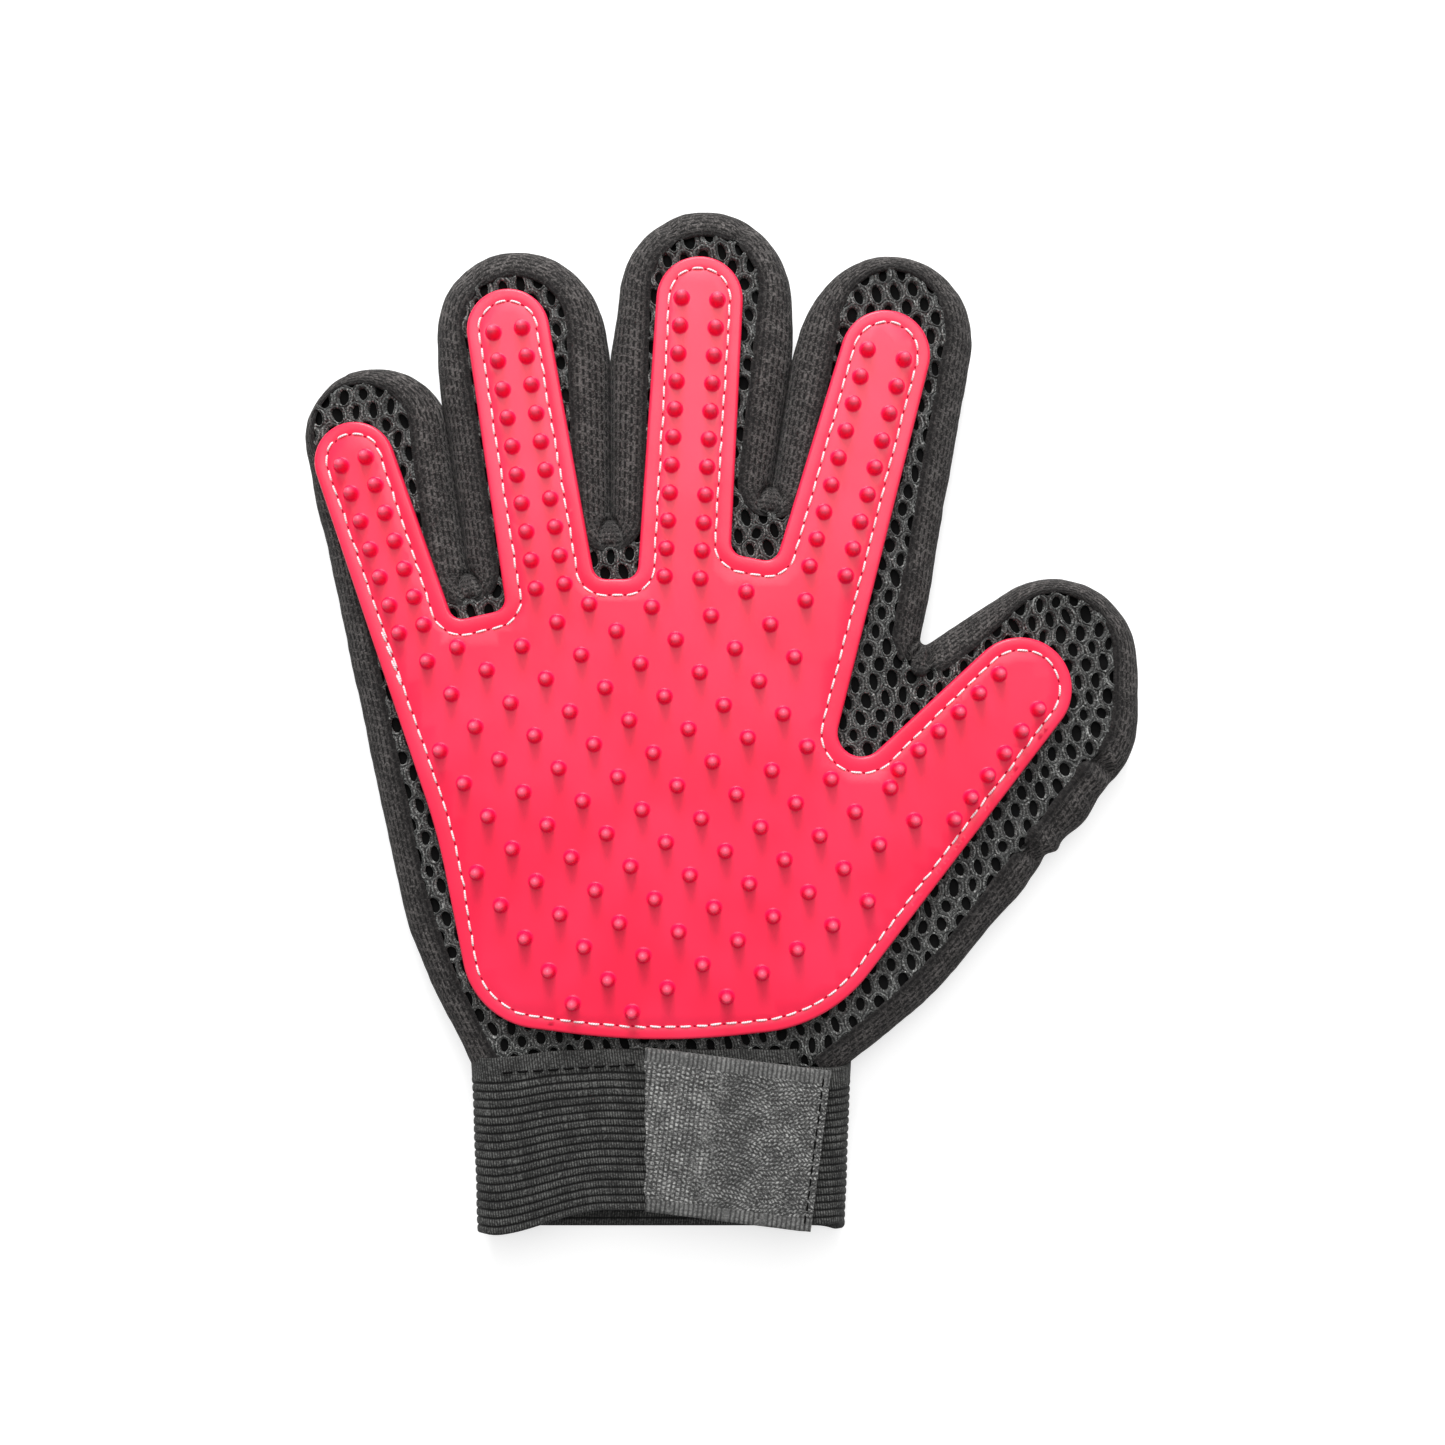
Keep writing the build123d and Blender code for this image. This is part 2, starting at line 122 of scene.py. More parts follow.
def belt(circles: Sequence[Pulley], inset: float = 0.0, notch_inset: float | None = None,
         step: float = 1.0, reach: float = 0.0, closed: bool = False) -> Outline:
    """Sample a belt of tangent lines and arcs that runs clockwise round a row of circles.

    Args:
        circles: the circles in order; a closed belt repeats its first two at the end.
        inset: how far the belt is moved inwards.
        notch_inset: the same for the circles that it passes inside, if it differs.
        step: spacing of the points.
        reach: how far outside the belt the spacing still has to hold.
        closed: whether the belt ends on the line that it starts with.

    Returns:
        The outline's points, without a repeated last one where it is closed.
    """
    hollow = inset if notch_inset is None else notch_inset
    signed = [c.side * c.radius - (inset if c.side > 0 else hollow) for c in circles]
    headings = []
    for (a, ra), (b, rb) in zip(zip(circles, signed), zip(circles[1:], signed[1:])):
        dx, dy = b.x - a.x, b.y - a.y
        headings.append(math.atan2(dy, dx) - math.asin((ra - rb) / math.hypot(dx, dy)))
    points, outs = [], []
    for i, heading in enumerate(headings):
        a, b = circles[i], circles[i + 1]
        if closed and i + 1 == len(headings):
            break
        out = np.array((-math.sin(heading), math.cos(heading)))
        start = np.array((a.x, a.y)) + signed[i] * out
        end = np.array((b.x, b.y)) + signed[i + 1] * out
        count = max(1, math.ceil(np.hypot(*(end - start)) / step))
        share = np.arange(count)[:, None] / count
        points.append(start + share * (end - start))
        outs.append(np.repeat(out[None], count, 0))
        if i + 1 == len(headings):
            points.append(end[None])
            outs.append(out[None])
            break
        turn = (heading - headings[i + 1]) % TAU
        turn -= TAU if b.side < 0 else 0
        widest = max(abs(signed[i + 1]), abs(signed[i + 1] + reach))
        count = max(2, math.ceil(abs(turn) * widest / step))
        angle = heading - turn * np.arange(count) / count
        around = np.stack([-np.sin(angle), np.cos(angle)], 1)
        points.append(np.array((b.x, b.y)) + signed[i + 1] * around)
        outs.append(around)
    points, outs = np.concatenate(points), np.concatenate(outs)
    return Outline(points, outs, travelled(points))


class Fence:
    """Tells how deep a place lies inside an outline."""

    close = 2.5

    def __init__(self, outline: Outline) -> None:
        """Keep the outline and a tree of its points."""
        self.outline = outline
        self.tree = KDTree(len(outline.points))
        for i, (x, y) in enumerate(outline.points):
            self.tree.insert((x, y, 0), i)
        self.tree.balance()

    def nearest(self, places: np.ndarray) -> np.ndarray:
        """The outline's nearest point to each place, as numbers along it."""
        return np.array([self.tree.find((x, y, 0))[1] for x, y in places[:, :2]], int)

    def depth(self, places: np.ndarray) -> np.ndarray:
        """How far inside the outline each place lies; negative outside.

        Close to the outline it is the gap to the nearest point along the outward direction there, and
        farther off the whole gap.

        Args:
            places: points in plan.

        Returns:
            The depth of each.
        """
        i = self.nearest(places)
        gap = self.outline.points[i] - places[:, :2]
        along = np.einsum("ij,ij->i", gap, self.outline.out[i])
        flat = np.hypot(*gap.T)
        return np.where(flat < self.close, along, np.sign(along) * flat)


def wobble(places: np.ndarray, wavelength: float, seed: int, waves: int = 6) -> np.ndarray:
    """A smooth random height from about -1 to 1: waves of random length and direction, added.

    Args:
        places: one point per row, in any number of dimensions.
        wavelength: the waves' middle length.
        seed: for the waves' lengths, directions and starts.
        waves: how many are added.

    Returns:
        The height at each place.
    """
    random = np.random.default_rng(seed)
    total = np.zeros(len(places))
    for _ in range(waves):
        direction = random.normal(size=places.shape[1])
        direction *= TAU / (wavelength * random.uniform(0.7, 1.5) * np.linalg.norm(direction))
        total += np.sin(places @ direction + random.uniform(0, TAU))
    return total / 3.5


def ramp(values: np.ndarray, low: float, high: float) -> np.ndarray:
    """0 below low, 1 above high and a smooth S between them."""
    t = np.clip((values - low) / (high - low), 0, 1)
    return t * t * (3 - 2 * t)


# ---------------------------------------------------------------- the hand
@dataclass(frozen=True)
class Hinge:
    """A joint of the frame as seen from above: its point, its axis and its height."""

    point: np.ndarray
    across: np.ndarray
    height: float

    @property
    def along(self) -> np.ndarray:
        """The direction that what it carries points in."""
        return left_of(self.across)


HINGES = {
    j["child"]: Hinge(np.array(j["pos_m"][:2]) / MM, np.array(j["axis"][:2]), j["pos_m"][2] / MM)
    for j in frame["joints"]
}


@dataclass(frozen=True)
class Finger:
    """One finger: its fabric tip, its pad strip and its nubs, beyond its crease."""

    name: str
    tip: tuple[float, float]
    radius: float
    pad_back: float
    pad_side: float
    pad_radius: float
    nub_count: int
    nub_pitch: float
    nub_spacing: float
    nub_first: float
    nub_flare: float

    @property
    def body(self) -> str:
        """The name of the frame's body that this finger is."""
        return "thumb" if self.name == "thumb" else f"{self.name}_finger"

    @property
    def hinge(self) -> Hinge:
        """The crease that the finger bends about."""
        return HINGES[self.body]

    @property
    def pad_tip(self) -> tuple[float, float]:
        """Centre of the pad strip's round end."""
        x, y = np.array(self.tip) - self.pad_back * self.hinge.along + self.pad_side * self.hinge.across
        return float(x), float(y)

    def local(self, places: np.ndarray) -> tuple[np.ndarray, np.ndarray]:
        """How far each place lies ahead of the crease's middle, and to its right."""
        from_crease = np.asarray(places)[..., :2] - self.hinge.point
        return from_crease @ self.hinge.along, from_crease @ self.hinge.across

    def nub_places(self) -> np.ndarray:
        """The two columns of nubs along the finger."""
        n = np.arange(self.nub_count)[:, None]
        half = self.nub_spacing / 2 + self.nub_flare * n
        column = np.array(self.pad_tip) - (self.nub_first + self.nub_pitch * n) * self.hinge.along
        return np.concatenate([column - half * self.hinge.across, column + half * self.hinge.across])


LITTLE = Finger("little", (-65.3, 82.3), 15.9, 4.9, -4.9, 8.95, 7, 6.6, 5.8, 0.0, 0.0)
RING = Finger("ring", (-32.6, 106.6), 18.7, 0.8, -1.5, 9.25, 10, 6.44, 6.5, 0.2, 0.0)
MIDDLE = Finger("middle", (10.1, 115.0), 19.4, 2.7, -1.0, 9.7, 11, 6.23, 8.0, 0.0, 0.0)
INDEX = Finger("index", (52.2, 105.1), 19.0, 5.4, -0.3, 10.05, 9, 6.26, 8.4, 0.0, 0.0)
THUMB = Finger("thumb", (89.4, 32.4), 18.2, 11.2, -1.7, 11.6, 6, 6.17, 11.7, 0.7, 0.5)


@dataclass(frozen=True)
class Hand:
    """The whole glove's plan: the fingers, the crotches between them and the palm's sides."""

    fingers: tuple[Finger, ...] = (LITTLE, RING, MIDDLE, INDEX, THUMB)
    crotches: tuple[Pulley, ...] = (
        Pulley(-44.1, 51.8, 0.7, -1), Pulley(-11.5, 64.0, 0.7, -1),
        Pulley(25.4, 71.5, 0.7, -1), Pulley(60.5, 36.7, 1.0, -1),
    )
    web_half_width: float = 2.5
    wrist_half_width: float = 43.5
    wrist_y: float = -60.0
    heel_radius: float = 130.0
    heel_slants: tuple[float, float] = (26.8, 52.3)
    heel_runs: tuple[float, float] = (13.6, 8.1)
    thumb_root: Pulley = Pulley(88.7, 19.8, 19.8, 1)
    wrist_tail: float = 6.0
    bend_start: float = 0.8

    def heel(self, side: int) -> list[Pulley]:
        """The end below the wrist and the long curve above it, on one side of the palm."""
        slant = math.radians(self.heel_slants[side > 0])
        run, half = self.heel_runs[side > 0], self.wrist_half_width
        x = side * (half + run * math.sin(slant) - self.heel_radius * math.cos(slant))
        y = self.wrist_y + run * math.cos(slant) + self.heel_radius * math.sin(slant)
        end = Pulley(side * (half - self.wrist_tail * math.sin(slant)),
                     self.wrist_y - self.wrist_tail * math.cos(slant), 0.0, 1)
        return [end, Pulley(x, y, self.heel_radius, 1)]

    def circles(self) -> list[Pulley]:
        """The fabric outline's circles, from the little finger's side of the wrist to the thumb's."""
        tips = [Pulley(*f.tip, f.radius, 1) for f in self.fingers]
        fingers = [c for pair in zip(tips, self.crotches) for c in pair] + [tips[-1]]
        return [*self.heel(-1), *fingers, self.thumb_root, *self.heel(1)[::-1]]

    def facing_point(self, i: int) -> np.ndarray:
        """The middle of the gap between fingertip i and the next."""
        a, b = self.fingers[i], self.fingers[i + 1]
        gap = np.array(b.tip) - a.tip
        apart = float(np.hypot(*gap))
        return np.array(a.tip) + gap * (a.radius + (apart - a.radius - b.radius) / 2) / apart

    def holds(self, i: int, places: np.ndarray) -> np.ndarray:
        """Which places lie on finger i, beyond its crease and between its neighbours."""
        finger = self.fingers[i]
        ahead, right = finger.local(places)
        inside = ahead > 0
        for side, crotch in ((-1, i - 1), (1, i)):
            if not 0 <= crotch < len(self.crotches):
                continue
            root = self.crotches[crotch]
            root_ahead, root_right = finger.local(np.array((root.x, root.y)))
            far_ahead, far_right = finger.local(self.facing_point(crotch))
            grow = (far_right - root_right) / (far_ahead - root_ahead)
            limit = np.where(ahead > root_ahead, root_right + grow * (ahead - root_ahead),
                             root_right - side * self.web_half_width)
            inside &= side * right < side * limit
        return inside

    def share(self, places: np.ndarray) -> np.ndarray:
        """The finger that each place belongs to, as its number, or -1 for the palm."""
        shares = np.full(len(places), -1)
        for i in range(len(self.fingers)):
            shares[self.holds(i, places)] = i
        return shares

    def bend_span(self, i: int, length: float) -> tuple[tuple, tuple]:
        """Where finger i starts to bend and where it is fully turned, as points in metres.

        Args:
            i: the finger's number.
            length: how much of the finger takes the bend.

        Returns:
            The two points, both at the hinge's height. The first is level with the finger's crotches.
        """
        finger = self.fingers[i]
        roots = [finger.local(np.array((c.x, c.y)))[0] for c in self.crotches[max(0, i - 1):i + 1]]
        first = max(0.0, *roots) + self.bend_start
        points = [finger.hinge.point + finger.hinge.along * a for a in (first, first + length)]
        return tuple((*(p * MM), finger.hinge.height * MM) for p in points)


HAND = Hand()


# ---------------------------------------------------------------- loose geometry
@dataclass
class Soup:
    """Points and faces in millimetres, with a measure along and across and a home for each point."""

    points: np.ndarray
    quads: np.ndarray
    tris: np.ndarray
    measure: np.ndarray
    home: np.ndarray

    @classmethod
    def of(cls, points: np.ndarray, quads: np.ndarray | None = None, tris: np.ndarray | None = None,
           measure: np.ndarray | None = None, home: np.ndarray | None = None) -> "Soup":
        """Fill in what isn't given: no faces, and the plan position as measure and home."""
        return cls(
            points,
            np.zeros((0, 4), int) if quads is None else quads,
            np.zeros((0, 3), int) if tris is None else tris,
            points[:, :2].copy() if measure is None else measure,
            points[:, :2].copy() if home is None else home,
        )

    @staticmethod
    def joined(soups: Sequence["Soup"]) -> "Soup":
        """Several soups as one."""
        starts = np.cumsum([0, *(len(s.points) for s in soups)])
        return Soup(
            np.concatenate([s.points for s in soups]),
            np.concatenate([s.quads + n for s, n in zip(soups, starts)]),
            np.concatenate([s.tris + n for s, n in zip(soups, starts)]),
            np.concatenate([s.measure for s in soups]),
            np.concatenate([s.home for s in soups]),
        )

    def kept(self, quads: np.ndarray, tris: np.ndarray) -> "Soup":
        """Only these faces, and the points that they use."""
        used = np.unique(np.concatenate([self.quads[quads].ravel(), self.tris[tris].ravel()]))
        number = np.zeros(len(self.points), int)
        number[used] = np.arange(len(used))
        return Soup(self.points[used], number[self.quads[quads]], number[self.tris[tris]],
                    self.measure[used], self.home[used])

    def shared_out(self) -> dict[int, "Soup"]:
        """The palm's faces, at -1, and each finger's, by the homes of their corners."""
        quad_share = HAND.share(self.home[self.quads].mean(1)) if len(self.quads) else np.zeros(0)
        tri_share = HAND.share(self.home[self.tris].mean(1)) if len(self.tris) else np.zeros(0)
        return {i: self.kept(quad_share == i, tri_share == i) for i in range(-1, len(HAND.fingers))}

    def facing(self, outward: np.ndarray | tuple) -> "Soup":
        """The same soup with its faces turned to the side that points outwards.

        Args:
            outward: one direction for all of it, or one for each point.

        Returns:
            The soup itself.
        """
        outward = np.broadcast_to(outward, self.points.shape)
        total = 0.0
        for faces in (self.quads, self.tris):
            if len(faces):
                a, b, c = (self.points[faces[:, k]] for k in (0, 1, 2))
                total += float((np.cross(b - a, c - a) * outward[faces[:, 0]]).sum())
        if total < 0:
            self.quads, self.tris = self.quads[:, ::-1], self.tris[:, ::-1]
        return self


def grid_quads(rows: int, columns: int, ring_rows: bool = False, ring_columns: bool = False) -> np.ndarray:
    """The faces of a grid of points that are stored row by row, closed into a ring where asked."""
    r = np.arange(rows if ring_rows else rows - 1)[:, None]
    c = np.arange(columns if ring_columns else columns - 1)[None]
    next_r, next_c = (r + 1) % rows, (c + 1) % columns
    corners = [r * columns + c, r * columns + next_c, next_r * columns + next_c, next_r * columns + c]
    return np.stack(corners, -1).reshape(-1, 4)


def numbered(faces: np.ndarray, copies: int, points: int) -> np.ndarray:
    """The faces of a small shape for each of its copies, which have so many points each."""
    return (faces[None] + (np.arange(copies) * points)[:, None, None]).reshape(-1, faces.shape[1])


def grid_soup(points: np.ndarray, measure: np.ndarray | None = None, home: np.ndarray | None = None,
              ring_rows: bool = False, ring_columns: bool = False) -> Soup:
    """A soup from a rows x columns x 3 array of points."""
    rows, columns = points.shape[:2]
    flat = points.reshape(-1, 3)
    return Soup.of(flat, grid_quads(rows, columns, ring_rows, ring_columns),
                   measure=None if measure is None else measure.reshape(-1, 2),
                   home=None if home is None else home.reshape(-1, 2))


def repeated(shape: Soup, places: np.ndarray, turns: np.ndarray | None = None) -> Soup:
    """Copies of one small shape, stood at places in space.

    Args:
        shape: the shape, drawn round the origin.
        places: one point per copy.
        turns: each copy's turn about the vertical, in radians.

    Returns:
        All the copies as one soup. Each copy's home is its own place.
    """
    n, m = len(places), len(shape.points)
    points = np.repeat(shape.points[None], n, 0)
    if turns is not None:
        c, s = np.cos(turns)[:, None], np.sin(turns)[:, None]
        x, y = points[..., 0].copy(), points[..., 1].copy()
        points[..., 0], points[..., 1] = x * c - y * s, x * s + y * c
    points = (points + places[:, None]).reshape(-1, 3)
    return Soup(points, numbered(shape.quads, n, m), numbered(shape.tris, n, m),
                np.tile(shape.measure, (n, 1)), np.repeat(places[:, :2], m, 0))


# ---------------------------------------------------------------- node groups and finishes
Socket = bpy.types.NodeSocket
Source = Socket | float | tuple
Colour = tuple[float, float, float, float]


class Wiring:
    """Adds nodes to one tree and joins them."""

    def __init__(self, tree: bpy.types.NodeTree) -> None:
        """Work on this tree."""
        self.tree = tree

    def add(self, kind: str, feeds: dict | None = None, **settings) -> bpy.types.Node:
        """Add a node.

        Args:
            kind: the node's type.
            feeds: what each input gets, a socket or a value, by its name or number.
            settings: the node's own properties.

        Returns:
            The node.
        """
        node = self.tree.nodes.new(kind)
        for key, value in settings.items():
            setattr(node, key, value)
        for key, value in (feeds or {}).items():
            if isinstance(value, Socket):
                self.tree.links.new(value, node.inputs[key])
            else:
                node.inputs[key].default_value = value
        return node

    def maths(self, operation: str, *values: Source) -> Socket:
        """The result of one Math node."""
        return self.add("ShaderNodeMath", dict(enumerate(values)), operation=operation).outputs[0]

    def times(self, a: Source, b: Source) -> Socket:
        """One value times another."""
        return self.maths("MULTIPLY", a, b)

    def less(self, a: Source, b: Source) -> Socket:
        """One value less another."""
        return self.maths("SUBTRACT", a, b)

    def raised(self, floor: Source, value: Source, gain: float) -> Socket:
        """A floor, with a value times a gain on top of it."""
        return self.maths("ADD", floor, self.times(value, gain))

    def lowered(self, mask: Source, depth: float) -> Socket:
        """1 where a mask is 0, and lower by the depth where it is 1."""
        return self.less(1.0, self.times(mask, depth))

    def between(self, share: Source, low: Source, high: Source) -> Socket:
        """One value where a share is 0, another where it is 1."""
        return self.maths("ADD", self.times(low, self.less(1.0, share)), self.times(high, share))

    def off_middle(self, value: Source) -> Socket:
        """How far a value lies from the middle between two whole numbers, from 0 to 0.5."""
        return self.maths("ABSOLUTE", self.less(self.maths("FRACT", value), 0.5))

    def spread(self, value: Source, low: float, high: float) -> Socket:
        """The value with low to high stretched to 0 to 1, smooth and clamped."""
        feeds = {"Value": value, "From Min": low, "From Max": high}
        return self.add("ShaderNodeMapRange", feeds, interpolation_type="SMOOTHSTEP").outputs[0]

    def noise(self, vector: Socket, scale: Source, detail: float = 2.0, roughness: float = 0.5) -> Socket:
        """Smooth random noise over a vector."""
        feeds = {"Vector": vector, "Scale": scale, "Detail": detail, "Roughness": roughness}
        return self.add("ShaderNodeTexNoise", feeds).outputs[0]

    def paint(self, shader: bpy.types.Node, share: Source, low: Colour, high: Colour) -> None:
        """Give a shader a base colour that goes from low to high with a share."""
        colour = self.add("ShaderNodeMix", {0: share, 6: low, 7: high}, data_type="RGBA").outputs[2]
        self.tree.links.new(colour, shader.inputs["Base Color"])

    def emboss(self, shader: bpy.types.Node, height: Socket, depth: float) -> None:
        """Roughen a shader's surface by a height from 0 to 1, which stands for a depth in millimetres."""
        node = self.add("ShaderNodeBump", {"Strength": 1.0, "Distance": depth * MM, "Height": height})
        self.tree.links.new(node.outputs[0], shader.inputs["Normal"])

    def measure(self) -> tuple[Socket, Socket, Socket]:
        """The piece's own measure in millimetres: as a vector, along and across."""
        vector = self.add("ShaderNodeUVMap", uv_map="measure").outputs[0]
        split = self.add("ShaderNodeSeparateXYZ", {0: vector})
        return vector, split.outputs[0], split.outputs[1]


def new_group(name: str, inputs: dict[str, float | None],
              output: str) -> tuple[bpy.types.NodeTree, Wiring, dict[str, Socket], Socket]:
    """Start a node group.

    Args:
        name: the group's name.
        inputs: each input's default value by its name, or None for a vector.
        output: the name of its one output, a value.

    Returns:
        The group, its wiring, its inputs by name and its output.
    """
    tree = bpy.data.node_groups.new(name, "ShaderNodeTree")
    for label, default in inputs.items():
        kind = "NodeSocketVector" if default is None else "NodeSocketFloat"
        socket = tree.interface.new_socket(label, in_out="INPUT", socket_type=kind)
        if default is not None:
            socket.default_value = default
    tree.interface.new_socket(output, in_out="OUTPUT", socket_type="NodeSocketFloat")
    entry, leave = tree.nodes.new("NodeGroupInput"), tree.nodes.new("NodeGroupOutput")
    return tree, Wiring(tree), {s.name: s for s in entry.outputs}, leave.inputs[0]


def fuzz_group() -> bpy.types.NodeTree:
    """Short fibres: fine noise with a coarser one that breaks it into lighter and darker spots."""
    tree, w, ins, out = new_group("Fibre fuzz", {"Measure": None, "Scale": 4.0}, "Fuzz")
    fine = w.noise(ins["Measure"], ins["Scale"], 3.0, 0.7)
    coarse = w.noise(ins["Measure"], w.times(ins["Scale"], 0.12))
    tree.links.new(w.spread(w.raised(w.times(fine, 0.75), coarse, 0.25), 0.42, 0.60), out)
    return tree


def dash_group() -> bpy.types.NodeTree:
    """Rows of dashes: a thin line down the middle of each row, broken at its own random places."""
    tree, w, ins, out = new_group("Dashed rows", {"Along": 0.0, "Across": 0.0, "Row": 1.2, "Dash": 1.6,
                                                  "Width": 0.16, "Filled": 0.7}, "Dashes")
    rows = w.maths("DIVIDE", ins["Across"], ins["Row"])
    line = w.less(1.0, w.maths("DIVIDE", w.off_middle(rows), ins["Width"]))
    shift = w.add("ShaderNodeTexWhiteNoise", {"W": w.maths("FLOOR", rows)}, noise_dimensions="1D").outputs[0]
    steps = w.raised(w.maths("DIVIDE", ins["Along"], ins["Dash"]), shift, 9.0)
    inside = w.less(ins["Filled"], w.maths("FRACT", steps))
    tree.links.new(w.times(w.spread(line, 0.0, 0.8), w.spread(inside, -0.02, 0.12)), out)
    return tree


class Groups:
    """The node groups, each made once."""

    made: dict[str, bpy.types.NodeTree] = {}

    @classmethod
    def use(cls, w: Wiring, maker: Callable[[], bpy.types.NodeTree], feeds: dict[str, Source]) -> Socket:
        """Add the group that a function makes and return its output."""
        tree = cls.made.get(maker.__name__) or cls.made.setdefault(maker.__name__, maker())
        return w.add("ShaderNodeGroup", feeds, node_tree=tree).outputs[0]

    @classmethod
    def fuzz(cls, w: Wiring, vector: Socket, scale: float) -> Socket:
        """Fibre fuzz over a piece, from 0 to 1."""
        return cls.use(w, fuzz_group, {"Measure": vector, "Scale": scale})

    @classmethod
    def dashes(cls, w: Wiring, along: Socket, across: Socket, row: float, dash: float, width: float,
               filled: float) -> Socket:
        """Rows of dashes over a piece, from 0 to 1.

        Args:
            w: the material's wiring.
            along: the place along the rows.
            across: the place across them.
            row: the rows' spacing.
            dash: the dashes' spacing.
            width: half the width of a dash, as a share of its row.
            filled: the length of a dash, as a share of its spacing.

        Returns:
            The dashes.
        """
        return cls.use(w, dash_group, {"Along": along, "Across": across, "Row": row, "Dash": dash,
                                       "Width": width, "Filled": filled})


def surface(name: str, **sockets: float | tuple) -> tuple[bpy.types.Material, Wiring, bpy.types.Node]:
    """A new material with one Principled shader, whose constant sockets are set here.

    Args:
        name: the material's name.
        sockets: values by socket name, with underscores for spaces.

    Returns:
        The material, its wiring and its shader.
    """
    material = bpy.data.materials.new(name)
    material.use_nodes = True
    shader = material.node_tree.nodes["Principled BSDF"]
    for key, value in sockets.items():
        shader.inputs[key.replace("_", " ")].default_value = value
    return material, Wiring(material.node_tree), shader


@dataclass(frozen=True)
class PadRubber:
    """Satin moulded rubber."""

    colour: Colour = (0.93, 0.022, 0.082, 1)
    deep: Colour = (0.90, 0.012, 0.062, 1)
    roughness: float = 0.36
    cloud_scale: float = 0.035
    grain_scale: float = 2.5
    grain_depth: float = 0.012

    def material(self) -> bpy.types.Material:
        """Build it: a faint cloudiness in the colour and a very fine grain."""
        m, w, shader = surface("pad_rubber", Specular_IOR_Level=0.5)
        vector, _, _ = w.measure()
        cloud = w.noise(vector, self.cloud_scale)
        w.paint(shader, w.spread(cloud, 0.35, 0.65), self.deep, self.colour)
        grain = w.noise(vector, self.grain_scale)
        w.tree.links.new(w.raised(self.roughness - 0.05, grain, 0.1), shader.inputs["Roughness"])
        w.emboss(shader, grain, self.grain_depth)
        return m


@dataclass(frozen=True)
class NubRubber:
    """The same rubber on the nubs, with painted light: deep red at the foot as painted shade, paler on the
    round tip as a painted highlight.
    """

    foot: Colour = (0.99, 0.006, 0.074, 1)
    tip: Colour = (1.0, 0.085, 0.155, 1)
    height: float = 3.6
    roughness: float = 0.38

    def material(self) -> bpy.types.Material:
        """Build it, paler towards the tip as a painted highlight. The piece's measure is aside and up from
        the foot.
        """
        m, w, shader = surface("nub_rubber", Roughness=self.roughness, Specular_IOR_Level=0.3)
        _, _, up = w.measure()
        # Painted light: by height, the foot takes the shaded deep red and the tip a painted highlight.
        w.paint(shader, w.spread(up, 0.45 * self.height, 0.97 * self.height), self.foot, self.tip)
        return m


@dataclass(frozen=True)
class KnitFabric:
    """Fine charcoal knit with columns of dark dashes that run along the strip."""

    dark: Colour = (0.007, 0.0065, 0.0065, 1)
    light: Colour = (0.158, 0.145, 0.140, 1)
    column: float = 1.25
    stitch: float = 2.15
    strip: float = 23.15
    fuzz_scale: float = 2.3

    def material(self) -> bpy.types.Material:
        """Build it from fibre fuzz, with dashes pressed into it, and painted shade that darkens it along
        both seams.
        """
        m, w, shader = surface("knit", Roughness=0.85, Sheen_Weight=0.04, Specular_IOR_Level=0.2)
        vector, along, across = w.measure()
        fuzz = Groups.fuzz(w, vector, self.fuzz_scale)
        dashes = Groups.dashes(w, along, across, self.column, self.stitch, 0.35, 0.70)
        tone = w.times(w.raised(0.10, fuzz, 0.90), w.lowered(dashes, 0.97))
        # Painted shade: the colour darkens within a few millimetres of either seam, where the strip meets
        # the mesh.
        near = w.maths("MINIMUM", across, w.less(self.strip, across))
        shade = w.raised(0.22, w.spread(near, 0.8, 3.6), 0.78)
        w.paint(shader, w.times(tone, shade), self.dark, self.light)
        w.emboss(shader, tone, 0.30)
        return m


@dataclass(frozen=True)
class MeshYarn:
    """Black open mesh: painted grey glints on the yarns that run round each hole."""

    dark: Colour = (0.004, 0.004, 0.004, 1)
    light: Colour = (0.46, 0.47, 0.455, 1)
    yarn: float = 0.78
    loop: float = 2.4
    fuzz_scale: float = 1.9

    def material(self) -> bpy.types.Material:
        """Build it: dark lines between yarns, broken into loops, and fuzz over them whose brightest spots
        are painted glints.
        """
        m, w, shader = surface("spacer_mesh", Roughness=0.55, Specular_IOR_Level=0.35, Sheen_Weight=0.03)
        vector, along, across = w.measure()
        fuzz = Groups.fuzz(w, vector, self.fuzz_scale)
        gaps = Groups.dashes(w, along, across, self.yarn, self.loop, 0.42, 0.9)
        # Painted highlight: the sparse bright spots of the sharpened fuzz are glints painted into the
        # colour.
        tone = w.times(w.raised(0.10, w.maths("POWER", fuzz, 1.9), 0.9), w.lowered(gaps, 0.92))
        w.paint(shader, tone, self.dark, self.light)
        w.emboss(shader, tone, 0.35)
        return m


